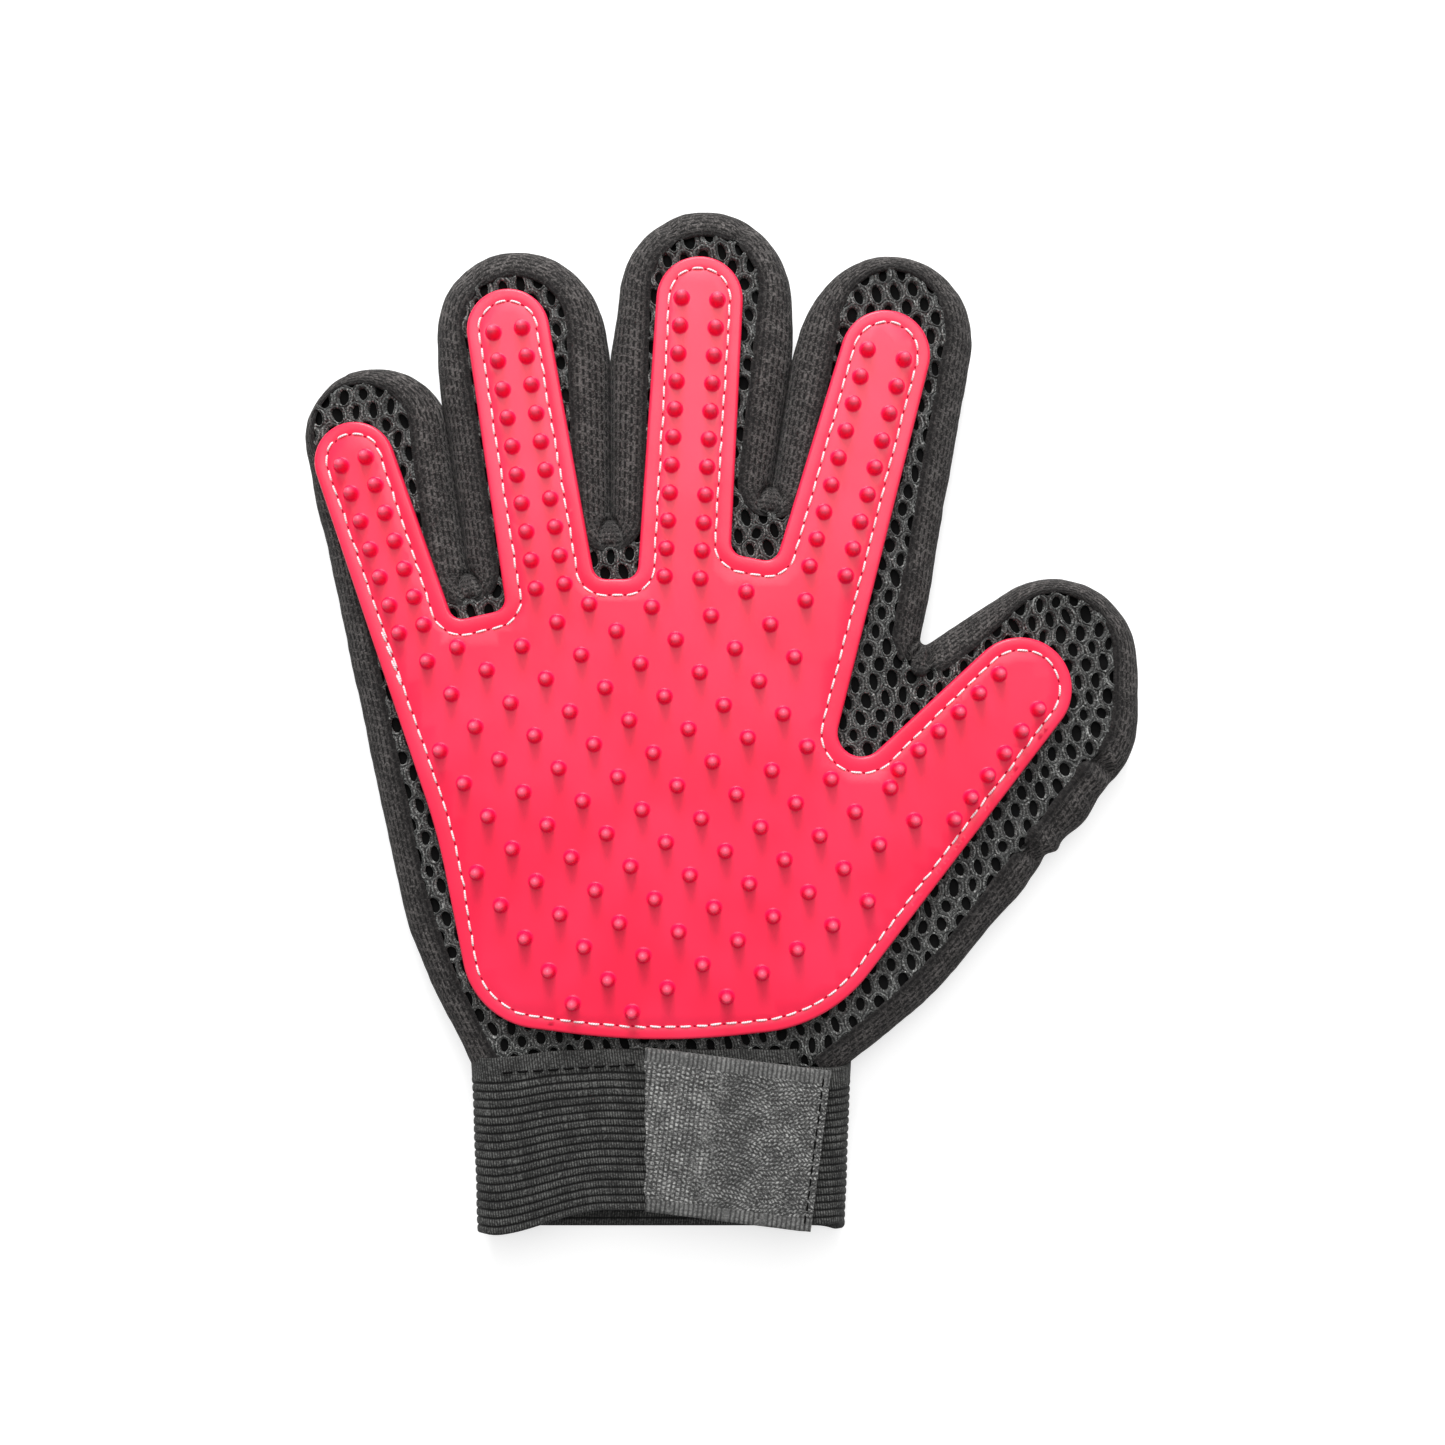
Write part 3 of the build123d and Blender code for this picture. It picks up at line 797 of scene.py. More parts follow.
@dataclass(frozen=True)
class RibbedElastic:
    """Black elastic webbing with fine strokes across each rib."""

    dark: Colour = (0.004, 0.004, 0.004, 1)
    light: Colour = (0.130, 0.131, 0.126, 1)
    rib: float = 40.0 / 21
    plain: float = 4.2
    stroke: float = 0.60
    slant: float = 0.12
    fuzz_scale: float = 1.7

    def material(self) -> bpy.types.Material:
        """Build it from strokes across the ribs, painted shade in the furrows between them and fibre fuzz.
        """
        m, w, shader = surface("elastic", Roughness=0.8, Sheen_Weight=0.03, Specular_IOR_Level=0.2)
        vector, along, across = w.measure()
        fuzz = Groups.fuzz(w, vector, self.fuzz_scale)
        furrow = w.off_middle(w.maths("DIVIDE", across, self.rib))
        band = w.spread(across, self.plain + 0.2, self.plain - 0.2)
        ridge = w.maths("MAXIMUM", w.spread(furrow, 0.485, 0.24), band)
        slanted = w.raised(along, across, self.slant)
        strokes = Groups.dashes(w, across, slanted, self.stroke, 60.0, 0.36, 0.99)
        tone = w.times(w.raised(0.20, fuzz, 0.80), w.lowered(strokes, 0.85))
        # Painted shade: the furrows between the ribs go almost black, while the rib tops stay light.
        tone = w.times(tone, w.raised(0.03, ridge, 0.97))
        w.paint(shader, tone, self.dark, self.light)
        w.emboss(shader, w.raised(w.times(tone, 0.4), ridge, 0.6), 0.3)
        return m


@dataclass(frozen=True)
class HookTapeWeave:
    """Grey woven tape, lighter on its raised threads, with ribbed selvedges."""

    dark: Colour = (0.020, 0.020, 0.020, 1)
    light: Colour = (0.60, 0.60, 0.585, 1)
    half_width: float = 18.15
    selvedge: float = 3.0
    knots_end: float = 17.0
    columns_start: float = 27.0
    zigzag: float = 5.2
    zigzag_depth: float = 4.2
    fuzz_scale: float = 1.7

    def material(self) -> bpy.types.Material:
        """Build it: specks of raised loops, in columns towards the loose end, bars along both edges, and a
        band of painted shade across it.
        """
        m, w, shader = surface("hook_tape", Roughness=0.75, Sheen_Weight=0.03, Specular_IOR_Level=0.25)
        vector, along, across = w.measure()
        fuzz = Groups.fuzz(w, vector, self.fuzz_scale)
        zigzag = w.off_middle(w.maths("DIVIDE", across, self.zigzag))
        slanted = w.raised(along, zigzag, self.zigzag_depth)
        knots = Groups.dashes(w, across, slanted, 0.86, 1.05, 0.5, 0.62)
        columns = Groups.dashes(w, across, along, 1.08, 0.98, 0.45, 0.62)
        bars = Groups.dashes(w, across, along, 1.05, 90.0, 0.36, 0.99)
        inner = self.half_width - self.selvedge
        edge = w.spread(w.maths("ABSOLUTE", across), inner - 0.2, inner + 0.2)
        end = w.spread(along, -self.knots_end, -self.columns_start)
        loops = w.times(w.raised(0.16, w.between(end, knots, columns), 0.84), w.raised(0.10, fuzz, 0.90))
        # Painted shade: the loops darken in a band across the tape, centred where the knots end.
        from_shaded_band = w.maths("ABSOLUTE", w.maths("ADD", along, self.knots_end))
        loops = w.times(loops, w.raised(0.62, w.spread(from_shaded_band, 0.0, 9.0), 0.38))
        loops = w.times(loops, w.raised(0.9, end, 0.35))
        ribbed = w.times(w.less(0.36, w.times(bars, 0.27)), w.raised(0.35, fuzz, 0.65))
        tone = w.between(edge, loops, ribbed)
        w.paint(shader, tone, self.dark, self.light)
        w.emboss(shader, tone, 0.28)
        return m


@dataclass(frozen=True)
class LoopPile:
    """Black brushed pile."""

    dark: Colour = (0.006, 0.006, 0.006, 1)
    light: Colour = (0.05, 0.05, 0.05, 1)
    fuzz_scale: float = 1.6

    def material(self) -> bpy.types.Material:
        """Build it from coarse fibre fuzz."""
        m, w, shader = surface("loop_fabric", Roughness=0.95, Sheen_Weight=0.4, Specular_IOR_Level=0.1)
        fuzz = Groups.fuzz(w, w.measure()[0], self.fuzz_scale)
        w.paint(shader, fuzz, self.dark, self.light)
        w.emboss(shader, fuzz, 0.3)
        return m


@dataclass(frozen=True)
class Thread:
    """Twisted sewing thread, with painted shade in the grooves between its plies."""

    name: str
    colour: Colour
    ply_groove_shade: Colour
    shine: float = 0.4
    twist: float = 0.55

    def material(self) -> bpy.types.Material:
        """Build it with slanted lines of painted shade between its plies. The piece's measure is along and
        around.
        """
        m, w, shader = surface(self.name, Roughness=0.55, Sheen_Weight=self.shine / 4,
                               Specular_IOR_Level=self.shine)
        _, along, around = w.measure()
        turn = w.maths("ADD", w.maths("DIVIDE", along, self.twist), around)
        ply = w.spread(w.off_middle(turn), 0.5, 0.28)
        # Painted shade: the grooves between the plies take the darker colour.
        w.paint(shader, ply, self.ply_groove_shade, self.colour)
        w.emboss(shader, ply, 0.05)
        return m


@dataclass(frozen=True)
class PlainFinish:
    """One flat colour, for what is only seen as a dark gap or a hole: the black cloth behind the net, and
    the needle holes, whose dark red is painted shade.
    """

    name: str
    colour: Colour
    roughness: float = 0.9

    def material(self) -> bpy.types.Material:
        """Build it."""
        return surface(self.name, Base_Color=self.colour, Roughness=self.roughness,
                       Specular_IOR_Level=0.1)[0]


class Finishes:
    """Every material of the glove, made once."""

    def __init__(self) -> None:
        """Make them."""
        black, groove_shade_black = (0.004, 0.004, 0.004, 1), (0.001, 0.001, 0.001, 1)
        self.rubber = PadRubber().material()
        self.nub = NubRubber().material()
        self.knit = KnitFabric().material()
        self.mesh = MeshYarn().material()
        self.lining = PlainFinish("lining", black).material()
        self.elastic = RibbedElastic().material()
        self.tape = HookTapeWeave().material()
        self.pile = LoopPile().material()
        self.pale = Thread("pale_thread", (0.98, 0.80, 0.82, 1), (0.80, 0.40, 0.46, 1)).material()
        # The dark thread's groove colour is painted shade, a still deeper black.
        self.dark = Thread("dark_thread", black, groove_shade_black, shine=0.04).material()
        # Painted shade: the needle holes are a darker red than the rubber round them.
        self.hole = PlainFinish("needle_hole", (0.42, 0.004, 0.026, 1)).material()


# ---------------------------------------------------------------- pieces
def make_piece(name: str, coats: Sequence[tuple[Soup, bpy.types.Material]]) -> bpy.types.Object:
    """Make one object from soups, each in its own material.

    Args:
        name: the object's name.
        coats: the soups and their materials.

    Returns:
        The object, at the origin.
    """
    coats = [(s, m) for s, m in coats if len(s.quads) + len(s.tris)]
    whole = Soup.joined([s for s, _ in coats])
    mesh = bpy.data.meshes.new(name)
    mesh.from_pydata((whole.points * MM).tolist(), [], whole.quads.tolist() + whole.tris.tolist())
    for _, material in coats:
        mesh.materials.append(material)
    numbers = [np.full(len(s.quads), i) for i, (s, _) in enumerate(coats)]
    numbers += [np.full(len(s.tris), i) for i, (s, _) in enumerate(coats)]
    mesh.polygons.foreach_set("material_index", np.concatenate(numbers).astype(np.int32))
    mesh.polygons.foreach_set("use_smooth", np.ones(len(mesh.polygons), bool))
    corners = np.zeros(len(mesh.loops), np.int32)
    mesh.loops.foreach_get("vertex_index", corners)
    layer = mesh.uv_layers.new(name="measure")
    layer.data.foreach_set("uv", whole.measure[corners].astype(np.float32).ravel())
    obj = bpy.data.objects.new(name, mesh)
    bpy.context.scene.collection.objects.link(obj)
    LOG.info("%s: %d faces", name, len(mesh.polygons))
    return obj


def palm_piece(name: str, soup: Soup, material: bpy.types.Material, node: str) -> None:
    """Make a piece that stays with the palm and stands for one node."""
    piece = make_piece(name, [(soup, material)])
    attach(piece, "palm")
    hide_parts(node)


@dataclass(frozen=True)
class GloveLayer:
    """One layer of the glove, made whole and shared out to the palm and the five fingers."""

    name: str
    slot: str
    finger_node: str
    palm_nodes: tuple[str, ...]
    bend_length: float = 15.0

    def place(self, *coats: tuple[Soup, bpy.types.Material]) -> None:
        """Split the layer at the creases, hang the palm's piece on the palm, and make each finger's piece
        where it lies.

        Args:
            coats: the layer's soups and their materials.
        """
        shares = [(soup.shared_out(), material) for soup, material in coats]
        palm = make_piece(f"palm_{self.name}", [(s[-1], m) for s, m in shares])
        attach(palm, "palm")
        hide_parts(*self.palm_nodes)
        for i, finger in enumerate(HAND.fingers):
            piece = make_piece(f"{finger.name}_{self.name}", [(s[i], m) for s, m in shares])
            start, end = HAND.bend_span(i, self.bend_length)
            finger.body
            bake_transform(piece)
            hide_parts(f"{finger.name}_{self.finger_node}")


# ---------------------------------------------------------------- the knit gusset
@dataclass(frozen=True)
class Fold:
    """A fold across the gusset: where it lies, how far it stands out, and its width along the strip.

    A fold on top shows on the palm's side only, not in the outline.
    """

    x: float
    y: float
    rise: float
    width: float
    step: float = 0.0
    on_top: bool = False


@dataclass(frozen=True)
class Gusset:
    """The knit strip that joins the two mesh panels all round the glove: half a tube with rolled seams."""

    bulge: float = 6.75
    step: float = 0.75
    across: int = 26
    roll: float = 0.5
    touching: tuple[float, ...] = (38.0, 35.0, 28.5, 0.0)
    folds: tuple[Fold, ...] = (
        Fold(100.5, 7.5, -1.8, 1.2, on_top=True), Fold(98.3, 4.2, 0.9, 1.9, on_top=True),
        Fold(103.5, 7.5, 1.2, 6.5), Fold(95.5, -3.5, 1.9, 6.0),
        Fold(87.5, -10.5, 0.4, 2.0, 1.0), Fold(84.5, -13.0, -1.7, 1.1, on_top=True),
        Fold(86.6, -9.6, 0.7, 1.8, on_top=True),
        Fold(80.0, -19.0, 0.6, 6.0), Fold(-52.0, -28.0, 0.35, 5.0),
        Fold(104.0, 45.0, -0.5, 1.2, on_top=True),
        Fold(-80.0, 92.0, -0.35, 3.0, on_top=True), Fold(-78.0, 66.0, 0.3, 5.0),
        Fold(0.0, 133.0, -0.7, 1.3, on_top=True), Fold(20.5, 131.5, -1.0, 1.2, on_top=True),
        Fold(-45.0, 120.5, -0.8, 1.6, on_top=True), Fold(66.5, 118.0, -0.6, 1.5, on_top=True),
        Fold(106.5, 30.0, 1.25, 10.0), Fold(53.6, 28.8, -2.1, 0.95, on_top=True),
        Fold(61.4, 27.0, -1.9, 0.95, on_top=True), Fold(57.4, 27.0, 1.0, 2.4, on_top=True),
    )
    thin_places: tuple[Fold, ...] = (
        Fold(-74.0, 95.0, 2.6, 13.0), Fold(-81.0, 82.0, 2.2, 12.0), Fold(52.5, 124.0, 2.7, 11.0),
        Fold(84.0, 50.0, 3.4, 13.0), Fold(107.0, 33.0, 1.6, 14.0),
    )
    most_lean: float = 3.9
    most_push: float = 3.4
    press: float = 0.12
    waves: tuple[tuple[float, float, int], ...] = ((0.14, 23, 3), (0.07, 7.5, 5), (0.05, 3.2, 7))

    def seam(self) -> Outline:
        """The line where the strip is sewn to the back's mesh panel."""
        return belt(HAND.circles(), inset=self.bulge, step=self.step, reach=self.bulge)

    def leaning(self, seam: Outline) -> np.ndarray:
        """How much nearer the outline the palm's seam lies than the back's, at each place along."""
        total = np.zeros(len(seam.run))
        for place in self.thin_places:
            x = (seam.run - seam.nearest_run(place.x, place.y)) / place.width
            total += place.rise * np.exp(-(x ** 2))
        return np.minimum(total, self.most_lean)

    def palm_seam(self) -> Outline:
        """The line where the strip is sewn to the palm's mesh panel."""
        seam = self.seam()
        return Outline(seam.points + self.leaning(seam)[:, None] * seam.out, seam.out, seam.run)

    def profile(self) -> tuple[np.ndarray, np.ndarray, np.ndarray, np.ndarray]:
        """The section from the back panel's seam to the palm panel's.

        Returns:
            How far out and how high each point is, the outward and the upward share of its normal,
            all by rows.
        """
        angle = np.linspace(-math.pi / 2, math.pi / 2, self.across)
        out, height = self.bulge * np.cos(angle), self.bulge * (1 + np.sin(angle))
        lip = np.linspace(0, math.pi * 0.62, 6)[1:]
        lip_out, lip_drop = -self.roll * np.sin(lip), self.roll * (1 - np.cos(lip))
        outs = np.concatenate([lip_out[::-1], out, lip_out])
        heights = np.concatenate([lip_drop[::-1], height, 2 * self.bulge - lip_drop])
        normal_out = np.concatenate([-np.sin(lip)[::-1], np.cos(angle), -np.sin(lip)])
        normal_up = np.concatenate([-np.cos(lip)[::-1], np.sin(angle), np.cos(lip)])
        return outs, heights, normal_out, normal_up

    def crumple(self, xyz: np.ndarray) -> np.ndarray:
        """How far the cloth stands off its smooth form: soft waves of three sizes."""
        stretch = xyz * (1, 1, 1.4)
        return sum(height * wobble(stretch, length, seed) for height, length, seed in self.waves)

    @staticmethod
    def aside(i: int) -> np.ndarray:
        """The direction across crotch i, from one of its fingers to the other."""
        between = HAND.fingers[i].hinge.along + HAND.fingers[i + 1].hinge.along
        return np.array((between[1], -between[0])) / np.linalg.norm(between)

    def crotch_folds(self, xyz: np.ndarray) -> np.ndarray:
        """Nested folds in each crotch: a creased eye, and ripples that ring it."""
        total = np.zeros(len(xyz))
        for i, crotch in enumerate(HAND.crotches):
            side = self.aside(i)
            down = np.array((side[1], -side[0]))
            from_root = xyz[:, :2] - (crotch.x, crotch.y)
            ahead, aside = from_root @ down, from_root @ side
            distance = np.hypot(ahead, aside)
            tilt = np.abs(np.arctan2(aside, ahead))
            fold = np.sin(TAU * (distance + 1.5 * tilt) / 2.1 + i)
            fade = ramp(distance, 1.2, 3.0) * (1 - ramp(distance, 6.5, 9.0)) * (1 - ramp(tilt, 1.1, 1.7))
            eye = np.hypot((ahead - 2.6) / 4.3, aside / (1.5 + 0.22 * np.clip(ahead, 0, 6)))
            crease = np.exp(-((eye - 1) / 0.25) ** 2)
            ribs = np.sin(TAU * distance / 0.95) * (1 - ramp(eye, 0.7, 0.95))
            total += 0.22 * fold * fade * ramp(eye, 1.1, 1.4) - 1.35 * crease + 0.16 * ribs
        return total

    def fold_height(self, seam: Outline, on_top: bool) -> np.ndarray:
        """How far the single folds push the strip out, at each distance along it."""
        total = np.zeros(len(seam.run))
        for fold in self.folds:
            if fold.on_top is on_top:
                x = (seam.run - seam.nearest_run(fold.x, fold.y)) / fold.width
                total += (fold.rise - fold.step * 1.6 * x) * np.exp(-(x ** 2))
        return total

    def nestled(self, seam: Outline) -> tuple[np.ndarray, np.ndarray]:
        """How the strips of neighbouring fingers meet above their crotch.

        Args:
            seam: the strip's seam.

        Returns:
            For each place along the strip, how far it bulges out to meet its neighbour, and how
            closely it is held there, from 0 to 1.
        """
        outer = seam.points + self.bulge * seam.out
        number = np.arange(len(outer))
        push, held = np.zeros(len(outer)), np.zeros(len(outer))
        for crotch, reach in zip(HAND.crotches, self.touching):
            if not reach:
                continue
            away = np.hypot(*(outer - (crotch.x, crotch.y)).T)
            root = int(np.argmin(away + np.hypot(*(seam.points - (crotch.x, crotch.y - 7.45)).T)))
            spread = (outer - (crotch.x, crotch.y)) @ self.aside(HAND.crotches.index(crotch))
            beside = (np.abs(spread) + self.press) * (1 - ramp(away, 3.5, 9.0))
            closed = np.where(away < 1.6, away + 0.15, np.clip(beside, 0, self.most_push))
            push = np.maximum(push, closed * (np.abs(number - root) < 40))
            near = (away < reach + 24) & (np.abs(number - root) < (reach + 36) / self.step)
            before, after = near & (number <= root), near & (number > root)
            for side, other in ((before, after), (after, before)):
                gap = np.hypot(*np.moveaxis(outer[side][:, None] - outer[other][None], -1, 0)).min(1)
                last = np.interp(reach, *np.sort(np.stack([away[side], gap]), axis=1))
                most = (last / 2 + self.press) * (1 - ramp(away[side], reach - 1, reach + 21))
                meet = np.clip(np.minimum(gap / 2 + self.press, most), 0, self.most_push)
                push[side] = np.maximum(push[side], meet)
                held[side] = 1 - ramp(away[side], reach, reach + 10)
        return push, held

    def soup(self) -> Soup:
        """The whole strip, cut at the wrist."""
        seam = self.seam()
        keep = seam.points[:, 1] > HAND.wrist_y - 1.5
        seam = Outline(seam.points[keep], seam.out[keep], seam.run[keep])
        outs, heights, normal_out, normal_up = self.profile()
        n, m = len(seam.points), len(outs)
        sideways = np.clip(normal_out, 0, 1)
        lean = self.leaning(seam)[:, None] * ((heights > self.bulge) * (1 - sideways))[None]
        flat = seam.points[:, None] + (outs[None] + lean)[..., None] * seam.out[:, None]
        xyz = np.concatenate([flat, np.broadcast_to(heights[None, :, None], (n, m, 1))], 2)
        normal = np.concatenate([normal_out[None, :, None] * seam.out[:, None],
                                 np.broadcast_to(normal_up[None, :, None], (n, m, 1))], 2)
        points = xyz.reshape(-1, 3)
        push, held = self.nestled(seam)
        on_top = np.tile(ramp(heights, 8.5, 11.5), n)
        lift = self.crumple(points) * (1 - 0.8 * np.repeat(held, m)) + self.crotch_folds(points) * on_top
        lift += np.repeat(push, m) * np.tile(sideways, n)
        lift += np.repeat(self.fold_height(seam, False), m) * np.tile(np.clip(normal_out, 0.25, 1), n)
        lift += np.repeat(self.fold_height(seam, True), m) * on_top
        moved = points + normal.reshape(-1, 3) * lift[:, None]
        moved[:, 2] = np.maximum(moved[:, 2], 0.0)
        arc = travelled(np.stack([outs, heights], 1))
        measure = np.stack(np.broadcast_arrays(seam.run[:, None], arc[None]), -1)
        home = np.broadcast_to(seam.points[:, None], (n, m, 2)).copy()
        soup = grid_soup(moved.reshape(n, m, 3), measure, home)
        return soup.facing(normal.reshape(-1, 3))

    def build(self, finishes: Finishes) -> None:
        """Make the gusset's pieces."""
        nodes = ("little_side_gusset", "little_ring_web", "ring_middle_web", "middle_index_web",
                 "index_thumb_web", "thumb_side_gusset")
        GloveLayer("knit", "knit", "gusset", nodes).place((self.soup(), finishes.knit))


# ---------------------------------------------------------------- the mesh panels
@dataclass(frozen=True)
class MeshPanels:
    """The open mesh on both faces of the glove: a net of six-sided cells, each with a long hole."""

    pitch: float = 4.15
    row: float = 3.75
    hole_width: float = 2.15
    hole_length: float = 3.5
    lean: float = 0.16
    top: float = 13.25
    bottom: float = 0.05
    seam_inset: float = 6.75
    overhang: float = 1.6
    under_pad: float = 3.2
    highest: float = 13.38
    ring_shares: tuple[float, ...] = (-0.10, 0.0, 0.16, 0.5, 0.82, 1.0)
    ring_drops: tuple[float, ...] = (-1.15, -0.50, -0.08, 0.14, 0.06, -0.14)

    def centres(self) -> np.ndarray:
        """The cells' centres over the whole glove."""
        rows, columns = np.arange(-36, 60), np.arange(-40, 50)
        x = columns[None] * self.pitch + (rows % 2)[:, None] * self.pitch / 2
        y = np.repeat(rows[:, None] * self.row, len(columns), 1)
        return turned(np.stack([x, y], -1).reshape(-1, 2), self.lean)

    def corner_angles(self) -> np.ndarray:
        """Directions from a cell's centre: its six corners, with two more along each side."""
        high = self.row / 2 + self.pitch ** 2 / (8 * self.row)
        low = self.row / 2 - self.pitch ** 2 / (8 * self.row)
        half = self.pitch / 2
        corners = np.array([(half, -low), (half, low), (0, high), (-half, low), (-half, -low), (0, -high)])
        following = np.roll(corners, -1, 0)
        sides = np.stack([corners + (following - corners) * t for t in (0, 1 / 3, 2 / 3)], 1).reshape(-1, 2)
        return np.concatenate([sides, sides[:1]])

    @staticmethod
    def held_in(plan: np.ndarray, edge: Fence) -> np.ndarray:
        """Draw what lies more than a little beyond the seam back to it, so that the gusset hides it."""
        beyond = np.clip(-edge.depth(plan) - 0.8, 0, None)
        return plan - 0.85 * beyond[:, None] * edge.outline.out[edge.nearest(plan)]

    def cells(self, centres: np.ndarray, edge_line: Fence, height: Callable[[np.ndarray], np.ndarray],
              up: int, seed: int) -> tuple[Soup, Soup]:
        """The net's cells and the dark cloth behind them.

        Args:
            centres: the centres of the cells to make.
            edge_line: the seam that the net is sewn to.
            height: gives the net's height at plan places.
            up: 1 for the palm's side, -1 for the back's.
            seed: for the small differences between the holes.

        Returns:
            The net and the cloth behind it.
        """
        random = np.random.default_rng(seed)
        edge = self.corner_angles()
        angle = np.arctan2(edge[:, 1], edge[:, 0])
        n, m = len(centres), len(edge)
        size = random.uniform(0.84, 1.14, (n, 2))
        turn = random.normal(0, 0.10, n)[:, None]
        wide, long = size[:, :1] * self.hole_width / 2, size[:, 1:] * self.hole_length / 2
        local = angle[None] - turn
        radius = wide * long / np.hypot(long * np.cos(local), wide * np.sin(local))
        rim = radius[..., None] * np.stack([np.cos(angle), np.sin(angle)], 1)[None]
        local_xy = np.stack([rim + (edge[None] - rim) * share for share in self.ring_shares], 1)
        plan = (turned(local_xy, self.lean) + centres[:, None, None]).reshape(-1, 2)
        plan = plan + 0.35 * np.stack([wobble(plan, 11, seed + 1), wobble(plan, 9, seed + 2)], 1)
        plan = self.held_in(plan, edge_line)
        drop = np.tile(np.repeat(np.array(self.ring_drops), m), n)
        points = np.column_stack([plan, height(plan) + up * drop])
        around = np.cumsum(np.hypot(*np.diff(edge, axis=0, prepend=edge[:1]).T))
        apart = np.hypot(*np.moveaxis(local_xy - local_xy[:, 1:2], -1, 0))
        u = np.broadcast_to(around[None, None], apart.shape) + random.uniform(0, 40, (n, 1, 1))
        measure = np.stack([u, apart + random.uniform(0, 40, (n, 1, 1)).round() * 0.78], -1).reshape(-1, 2)
        rings = len(self.ring_shares)
        quads = numbered(grid_quads(rings, m), n, m * rings)
        net = Soup.of(points, quads, measure=measure, home=np.repeat(centres, m * rings, 0)).facing(up * UP)
        return net, self.cloth_behind(centres, edge_line, height, up)

    def cloth_behind(self, centres: np.ndarray, edge_line: Fence,
                     height: Callable[[np.ndarray], np.ndarray], up: int) -> Soup:
        """The inner cloth under the net: one flat six-sided plate under each cell."""
        corners = np.concatenate([self.corner_angles()[:-1:3] * 1.03, [(0, 0)]])
        plan = (centres[:, None] + turned(corners, self.lean)[None]).reshape(-1, 2)
        plan = self.held_in(plan, edge_line)
        points = np.column_stack([plan, height(plan) - up * 1.2])
        k = np.arange(6)
        tris = numbered(np.stack([np.full(6, 6), k, (k + 1) % 6], 1), len(centres), 7)
        return Soup.of(points, tris=tris, home=np.repeat(centres, 7, 0)).facing(up * UP)

    def build(self, finishes: Finishes, back_seam: Outline, seam: Outline, pad: Outline) -> None:
        """Make the mesh of the palm's side, round the pad, and of the back."""
        inside, behind, under_pad = Fence(seam), Fence(back_seam), Fence(pad)
        centres = self.centres()
        low, high = seam.points.min(0) - 5, seam.points.max(0) + 5
        centres = centres[((centres > low) & (centres < high)).all(1) & (centres[:, 1] > HAND.wrist_y - 1)]
        shown = (inside.depth(centres) > -self.overhang) & (under_pad.depth(centres) < self.under_pad)
        shown = centres[shown]
        centres = centres[behind.depth(centres) > -self.overhang]

        def cover(plan: np.ndarray, fence: Fence) -> np.ndarray:
            """How far the mesh gives way to the gusset's inner wall, where it runs under it."""
            beyond = np.clip(-fence.depth(plan), 0, self.seam_inset - 0.1)
            tucked = self.seam_inset - np.sqrt(self.seam_inset ** 2 - beyond ** 2)
            return 0.5 * (tucked > 0) + 1.15 * tucked

        def gathers(plan: np.ndarray) -> np.ndarray:
            """Small pleats near the seam, strongest round the fingertips."""
            nearest = inside.nearest(plan)
            near = 1 - ramp(inside.depth(plan), 0.5, 7.0)
            run = seam.run[nearest][:, None]
            tips = np.zeros(len(plan))
            for finger in HAND.fingers:
                away = np.hypot(*(plan - finger.tip).T)
                tips = np.maximum(tips, 1 - ramp(away, finger.radius, finger.radius + 6))
            return near * (0.12 + 0.4 * tips) * wobble(run, 5.5, 21)

        def palm_height(plan: np.ndarray) -> np.ndarray:
            """The palm's net: highest at the gusset, sunk a little beside the pad."""
            sunk = 0.75 * ramp(inside.depth(plan), 0.5, 6.0)
            wrist = 0.8 * (1 - ramp(plan[:, 1], HAND.wrist_y + 0.5, HAND.wrist_y + 5))
            flat = self.top - sunk - cover(plan, inside) - wrist
            return np.minimum(flat + gathers(plan) + 0.12 * wobble(plan, 13, 9), self.highest)

        def back_height(plan: np.ndarray) -> np.ndarray:
            """The back's net: flat on what the glove lies on."""
            return self.bottom + 0.12 + cover(plan, behind) + 0.12 * (1 + wobble(plan, 15, 31))

        sides = (("palm", shown, inside, palm_height, 1, 11), ("back", centres, behind, back_height, -1, 12))
        for side, places, fence, height, up, seed in sides:
            net, cloth = self.cells(places, fence, height, up, seed)
            layer = GloveLayer(f"{side}_weave", "spacer_mesh", f"{side}_mesh", (f"{side}_mesh_panel",))
            layer.place((net, finishes.mesh), (cloth, finishes.lining))


